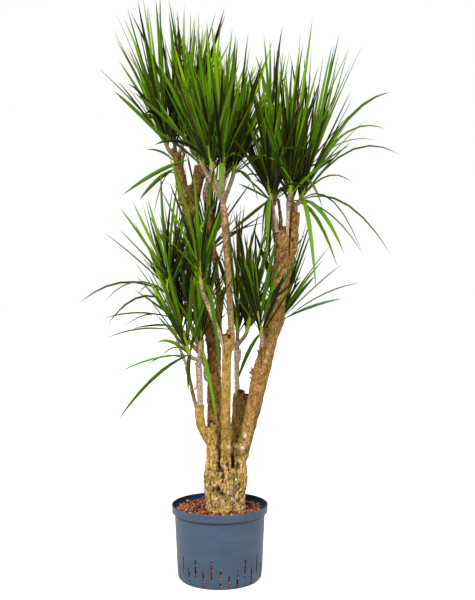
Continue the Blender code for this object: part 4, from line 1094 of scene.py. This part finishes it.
def make_stems():
    """The ring-scarred young stem from each bough's tip to each of its heads."""
    dice = random.Random(SEED + 2)
    corners, faces, greens, grain = [], [], [], []
    around = range(STEM_SIDES)
    for mass in MASSES.values():
        for foot, axis in heads_of(mass):
            first = len(corners)
            start_at = dice.uniform(0, 5)
            for place, centre, radius, across, beside, green in stem_rows(mass, foot, axis):
                for angle in (2 * math.pi * side / STEM_SIDES for side in around):
                    corners.append(centre + (across * math.cos(angle) + beside * math.sin(angle)) * radius)
                    greens.append(green)
                    grain.append((radius * math.cos(angle), radius * math.sin(angle), start_at + place))
            last = len(corners) - STEM_SIDES
            for low in range(first, last, STEM_SIDES):
                for side in around:
                    a, b = low + side, low + (side + 1) % STEM_SIDES
                    faces.append((a, b, b + STEM_SIDES, a + STEM_SIDES))
            faces += [[first + side for side in around][::-1], [last + side for side in around]]
    mesh = mesh_from("young_stems", [tuple(c) for c in corners], faces)
    shape = bmesh.new()
    shape.from_mesh(mesh)
    bmesh.ops.recalc_face_normals(shape, faces=shape.faces)
    shape.to_mesh(mesh)
    shape.free()
    write_attribute(mesh, "green", "FLOAT", greens)
    write_attribute(mesh, "grain", "FLOAT_VECTOR", grain)
    finish_with(mesh, stem_material())
    mesh.shade_smooth()
    new_piece("young_stems", mesh, ["leaves_" + name for name in MASSES])


# Leaves

# A leaf: its root and the way it sets out, its length, its sag as a share of that, how far out on its
# head it grows, from the youngest at 0 to the oldest at 1, and how much of the chance bends it has
Leaf = namedtuple("Leaf", "root aim length sag share play")


class Space:
    """The room that is taken: a leaf keeps to its own mass's space, clear of limbs and stems."""

    def __init__(self):
        limbs, twigs, sites = [], [], []
        for limb in LIMBS.values():
            points = route(limb, 8)
            limbs += [(*a, *b, radius_at(limb, (i + 1) / 8) * LIMB_SWELL)
                      for i, (a, b) in enumerate(zip(points, points[1:]))]
        for number, mass in enumerate(MASSES.values()):
            start, fork = stem_points(mass)
            for head, (foot, axis) in enumerate(heads_of(mass)):
                top = foot + axis * NECK_LENGTH
                for low, high, width in ((start, fork, TWIG_D), (fork, foot, TWIG_D), (foot, top, HEAD_D)):
                    twigs.append((*low, *high, width / 2, number, head))
                sites.append((*foot, *(foot + axis * SITE_LENGTH), number))
        self.limbs, self.twigs, self.sites = np.array(limbs), np.array(twigs), np.array(sites)

    def free(self, owner, head, points):
        if (points < CROWN_LOW).any() or (points > CROWN_HIGH).any():
            return False
        distances = self.away(points, self.sites)
        mine = self.sites[:, 6] == owner
        if ((distances[:, mine].min(1) - distances[:, ~mine].min(1)) / 2 > TRESPASS).any():
            return False
        if (self.away(points, self.limbs) < self.limbs[:, 6][None] + CLEAR).any():
            return False
        foreign = self.twigs[(self.twigs[:, 7] != owner) | (self.twigs[:, 8] != head)]
        return not (self.away(points[2:], foreign) < foreign[:, 6][None] + CLEAR * 0.5).any()

    @staticmethod
    def away(points, rows):
        return np.linalg.norm(beside_segments(points, rows)[1], axis=2)


def leaf_points(leaf, shares):
    """Points on a leaf's midrib, which sags by the square of the way out."""
    shares = np.asarray(shares)[:, None]
    sagged = np.array(UP) * (leaf.length * leaf.sag * shares ** 2)
    return np.array(leaf.root) + np.array(leaf.aim) * (leaf.length * shares) - sagged


def root_on_head(foot, axis, aim, share):
    """Where a leaf springs from its head: the older, the lower and the further out."""
    height = NECK_LENGTH - SUNK - ROOT_DROP * share * share
    radius = (NECK_D + (HEAD_D - NECK_D) * height / NECK_LENGTH) / 2
    aside = (aim - axis * aim.dot(axis)).normalized()
    return foot + axis * height + aside * (radius * ROOT_SPREAD * share)


def aim_towards(root, tip, sag):
    """The way and the length at which a leaf of that sag ends at its tip."""
    length = (tip - root).length
    for _ in range(4):
        reach = tip - root + UP * (length * sag)
        length = reach.length
    return reach.normalized(), length


def leaf_towards(foot, axis, tip, sag):
    """A leaf from a head to its tip: the steeper it stands, the younger, and the higher its root."""
    aim, length = aim_towards(foot + axis * (NECK_LENGTH / 2), Vector(tip), sag)
    share = min(1, max(0.25, 1.9 - 1.6 * aim.z))
    root = root_on_head(foot, axis, aim, share)
    aim, length = aim_towards(root, Vector(tip), sag)
    return Leaf(root, aim, length, sag, share, AIMED_PLAY)


def arching_leaf(root, tip, rise):
    """A leaf that sets out upwards by that rise and then hangs down to its tip."""
    reach = Vector((tip[0] - root.x, tip[1] - root.y, rise))
    sag = (rise + root.z - tip[2]) / reach.length
    return Leaf(root, reach.normalized(), reach.length, sag, ARCHING_SHARE, AIMED_PLAY)


def hanging_leaf(foot, axis, tip, rise):
    across = Vector((tip[0] - foot.x, tip[1] - foot.y, rise))
    return arching_leaf(root_on_head(foot, axis, across.normalized(), 1), tip, rise)


def leaves_a_head(mass, foot):
    return round(mass.leaves * (FINER_TOP if foot.z > LOW_HEAD else FINER_LOW))


def leaf_on_head(mass, foot, axis, start, count, dice, attempt):
    """The leaf of that count from a head's middle, by the golden angle and the dice."""
    share = math.sqrt((count + 0.5) / leaves_a_head(mass, foot))
    turn = start + TURN * count + dice.uniform(-TURN_PLAY, TURN_PLAY) * (1 + attempt / TURN_TRIES)
    off = UPRIGHT + (mass.spread - UPRIGHT) * share ** FAN_POWER * dice.uniform(*OFF_PLAY)
    across = axis.cross(Vector((0, 1, 0))).normalized()
    aim = Matrix.Rotation(turn, 3, axis) @ Matrix.Rotation(math.radians(off), 3, across) @ axis
    aim = (aim + axis.cross(aim).normalized() * dice.uniform(-SWEEP, SWEEP)).normalized()
    root = root_on_head(foot, axis, aim, share)
    length = mass.length * dice.uniform(*LENGTH_PLAY) * SHORTEN ** attempt
    sag = SAG * (1 - aim.z) * dice.uniform(*SAG_PLAY)
    if share > OLD_FROM and dice.random() < OLD_SHARE:
        length *= OLD_LENGTH
        sag += dice.uniform(*OLD_SAG)
    return Leaf(root, aim, length, sag, share, 1.0)


def grow_leaves():
    """The leaves of every mass: those with a tip of their own, and those that the rule finds room for."""
    space = Space()
    dice = random.Random(SEED)
    shares = np.linspace(0, 1, SAMPLES)
    for owner, (name, mass) in enumerate(MASSES.items()):
        heads = heads_of(mass)
        leaves = [leaf_towards(*heads[head], tip, sag) for head, tip, sag in REACHING.get(name, ())]
        leaves += [hanging_leaf(*heads[head], tip, rise) for head, tip, rise in HANGING.get(name, ())]
        leaves += [arching_leaf(Vector(root), tip, rise) for root, tip, rise in STRAY.get(name, ())]
        for head, (foot, axis) in enumerate(heads):
            start = dice.uniform(0, 2 * math.pi)
            for count in range(leaves_a_head(mass, foot)):
                for attempt in range(TRIES):
                    leaf = leaf_on_head(mass, foot, axis, start, count, dice, attempt)
                    points = leaf_points(leaf, shares)
                    reach = math.hypot(points[-1][0] - foot.x, points[-1][1] - foot.y)
                    if reach < mass.reach and space.free(owner, head, points):
                        leaves.append(leaf)
                        break
        yield name, leaves


def breadth(share):
    """Width of a blade along its length, as a share of its widest: a clasping root, a long taper."""
    return (0.32 + 0.68 * np.sin(np.minimum(1, share / 0.42) * math.pi / 2)) * (1 - share ** 4.2)


def blade(leaf, dice):
    """Corners of one leaf: channelled above, keeled below, with a thin margin on both sides."""
    rings = np.array(BLADE_RINGS)
    side = leaf.aim.cross(UP)
    side = side.normalized() if side.length > 0.05 else Vector((1, 0, 0))
    drift = side * dice.uniform(-DRIFT_ASIDE, DRIFT_ASIDE) + side.cross(leaf.aim) * dice.uniform(*DRIFT_UP)
    drift = np.array(drift) * leaf.length * leaf.play
    centres = leaf_points(leaf, rings) + drift[None] * (rings ** 2)[:, None]
    ahead = np.gradient(centres, axis=0)
    ahead /= np.linalg.norm(ahead, axis=1)[:, None]
    by_rule = leaf.play == 1
    roll = dice.uniform(-ROLL, ROLL) if by_rule else dice.choice((-1, 1)) * dice.uniform(*AIMED_ROLL)
    twist = dice.uniform(-TWIST, TWIST)
    width = dice.uniform(*LEAF_WIDTH) * (YOUNG_WIDTH + AGE_WIDENS * leaf.share)
    if not by_rule and leaf.sag > ARCHING_SAG and leaf.aim.z < 0.9:
        roll = roll * ARCHING_PLAY if leaf.aim.z > 0 else HANGING_ROLL
        twist, width = twist * ARCHING_PLAY, ARCHING_WIDTH
    half = width / 2 * breadth(rings)
    cup = half * dice.uniform(*CUP)
    corners = []
    for centre, along, h, c, place in zip(centres, ahead, half, cup, rings):
        turned = Matrix.Rotation(roll + twist * place, 3, Vector(along)) @ side
        across = np.array(turned) - along * np.dot(along, turned)
        across /= np.linalg.norm(across)
        above = np.cross(across, along)
        thick = THICKNESS * (1 - 0.6 * place)
        inner, rise = h * MARGIN_SHARE, c * MARGIN_SHARE ** 1.5
        section = ((-h, c), (-inner, rise + thick / 3), (0, thick / 2), (inner, rise + thick / 3),
                   (h, c), (inner, rise - thick / 3), (0, -thick * KEEL), (-inner, rise - thick / 3))
        corners += [centre + across * x + above * z for x, z in section]
    corners.append(leaf_points(leaf, [1])[0] + drift)
    return corners


def blade_faces():
    """Faces of a leaf over its corners, and the finish of each: margin, blade, underside, root, tip."""
    faces, finish = [], []
    sides = 8
    kinds = ("margin", "blade", "blade", "margin", "margin", "under", "under", "margin")
    last = len(BLADE_RINGS) - 1
    for ring in range(last):
        for k, kind in enumerate(kinds):
            a, b = ring * sides + k, ring * sides + (k + 1) % sides
            faces.append((a, b, b + sides, a + sides))
            finish.append(("root" if ring == 0 else kind, ring))
    tip = (last + 1) * sides
    for k in range(sides):
        faces.append((last * sides + k, last * sides + (k + 1) % sides, tip))
        finish.append(("tip", last))
    faces.append(tuple(range(sides))[::-1])
    finish.append(("root", 0))
    return faces, finish


def leaf_finishes(name, leaf, kinds, dice):
    """The finish of each face of a leaf. An older leaf is darker, and a mass in the others' shade, a
    blade's underside and the part of it near its root are painted darker as shade."""
    by_rule = leaf.play == 1
    tint = leaf.share * AGE_TINT + dice.uniform(*CHANCE_TINT) * (1 if by_rule else AIMED_CHANCE)
    if by_rule or leaf.sag <= ARCHING_SAG:
        tint += SHADY.get(name, 0)
    tints = [int(np.clip(step, 0, DARKEST)) for step in (tint, tint + 1, tint + 2)]
    sheened = dice.random() < SHEEN_SHARE
    dry = dice.random() < DRY_SHARE
    shade_rings = dice.choice(SHADED_RINGS)
    picked = []
    for kind, ring in kinds:
        # painted shade: a step darker near the root and on the underside
        step = (ring < shade_rings) + (kind == "under") if by_rule else 0
        # a few leaves are painted bluish over the blade, as the sheen they reflect
        green = FIRST_GREEN + (SHEEN_GREEN if sheened and kind == "blade" else tints[step])
        picked.append({"margin": 0, "root": 1, "tip": 2 if dry else green}.get(kind, green))
    return picked


def blade_mesh(name, corners, faces, count):
    """A mesh of that many blades, whose faces all follow the same pattern."""
    sizes = np.tile([len(face) for face in faces], count)
    loops = np.concatenate(faces)
    starts = np.arange(count) * (len(corners) // count)
    mesh = bpy.data.meshes.new(name)
    mesh.vertices.add(len(corners))
    mesh.vertices.foreach_set("co", np.array(corners, np.float32).ravel())
    mesh.loops.add(len(loops) * count)
    mesh.loops.foreach_set("vertex_index", (starts[:, None] + loops[None]).ravel().astype(np.int32))
    mesh.polygons.add(len(sizes))
    mesh.polygons.foreach_set("loop_start", (np.cumsum(sizes) - sizes).astype(np.int32))
    return mesh


def make_leaves():
    """One piece for each mass: all its leaves, each with its own tint of green."""
    skins = [("leaf_margin", MARGIN, 0.5), ("leaf_root", SHEATH, 0.5), ("dry_tip", DRY_TIP, 0.8)]
    skins += [(f"leaf_green_{i}", tint, 0.45) for i, tint in enumerate(LEAF_TINTS)]
    materials = [leaf_material(*skin) for skin in skins]
    faces, kinds = blade_faces()
    loops = np.concatenate(faces)
    rows = np.append(np.repeat(BLADE_RINGS, 8), 1.0)[loops]
    columns = np.append(np.tile((0, 0.08, 0.5, 0.92, 1, 0.92, 0.5, 0.08), len(BLADE_RINGS)), 0.5)[loops]
    for number, (name, leaves) in enumerate(grow_leaves()):
        dice = random.Random(SEED + 20 + number)
        corners, picked, uvs = [], [], []
        for leaf in leaves:
            corners += blade(leaf, dice)
            picked += leaf_finishes(name, leaf, kinds, dice)
            uvs.append(np.column_stack((columns, rows * leaf.length / 0.01)))
        mesh = blade_mesh("blades_" + name, corners, faces, len(leaves))
        mesh.polygons.foreach_set("material_index", picked)
        mesh.update(calc_edges=True)
        mesh.validate()
        layer = mesh.uv_layers.new(name="blade")
        layer.data.foreach_set("uv", np.concatenate(uvs).astype(np.float32).ravel())
        for material in materials:
            mesh.materials.append(material)
        mesh.shade_smooth()
        mesh.set_sharp_from_angle(angle=math.radians(60))
        new_piece("blades_" + name, mesh, ["leaves_" + name])


# Stage

def make_stage():
    """A pale floor like a lit table, so that it stays pale under the plant."""
    bpy.ops.mesh.primitive_circle_add(vertices=96, radius=60, fill_type="NGON")
    floor = bpy.context.active_object
    floor.name = "floor"
    made, add, shader = new_material("pale_floor", "BCBCBC", 0.9)
    seen = add("LightPath")["Is Camera Ray"]
    glow = add("Math", {0: seen, 1: 0.66}, operation="MULTIPLY")[0]
    feed(shader, {"Emission Color": (1, 1, 1, 1), "Emission Strength": glow})
    finish_with(floor.data, made)


def add_sun(name, turn, rise, strength, spread):
    """A distant soft light: its turn from the front towards +X and its rise, in degrees."""
    lamp = bpy.data.lights.new(name, "SUN")
    lamp.energy = strength
    lamp.angle = math.radians(spread)
    made = bpy.data.objects.new(name, lamp)
    turn, rise = math.radians(turn), math.radians(rise)
    from_there = Vector((math.sin(turn) * math.cos(rise), -math.cos(turn) * math.cos(rise), math.sin(rise)))
    made.rotation_euler = from_there.to_track_quat("Z", "Y").to_euler()
    bpy.context.scene.collection.objects.link(made)


def make_lights():
    """Soft boxes as distant lights, and a white room that the camera sees brighter than it lights."""
    add_sun("key", -28, 46, 4.2, 26)
    add_sun("fill", 48, 22, 1.2, 60)
    add_sun("back", 160, 50, 1.2, 50)
    world = bpy.data.worlds.new("studio")
    world.use_nodes = True
    tree = world.node_tree
    seen = node(tree, "LightPath")["Is Camera Ray"]
    level = node(tree, "MapRange", {"Value": seen, "To Min": 0.44, "To Max": 1.0})[0]
    feed(tree.nodes["Background"], {"Color": (1, 1, 1, 1), "Strength": level})
    bpy.context.scene.world = world
    bpy.context.scene.view_settings.view_transform = "Standard"


def make_camera():
    lens = bpy.data.cameras.new("photo_view")
    lens.sensor_width = SENSOR
    lens.lens = SENSOR * FOCAL_PX / FRAME_PX
    lens.clip_start, lens.clip_end = 0.05, 60
    camera = bpy.data.objects.new("photo_view", lens)
    camera.location = CAMERA_AT
    camera.rotation_euler = (math.pi / 2, 0, 0)
    bpy.context.scene.collection.objects.link(camera)
    bpy.context.scene.camera = camera


def main():
    make_camera()
    make_stage()
    make_lights()
    make_pot()
    make_granules()
    for kind, bark in BARKS.items():
        make_bark(kind, bark)
    make_stems()
    make_leaves()


main()
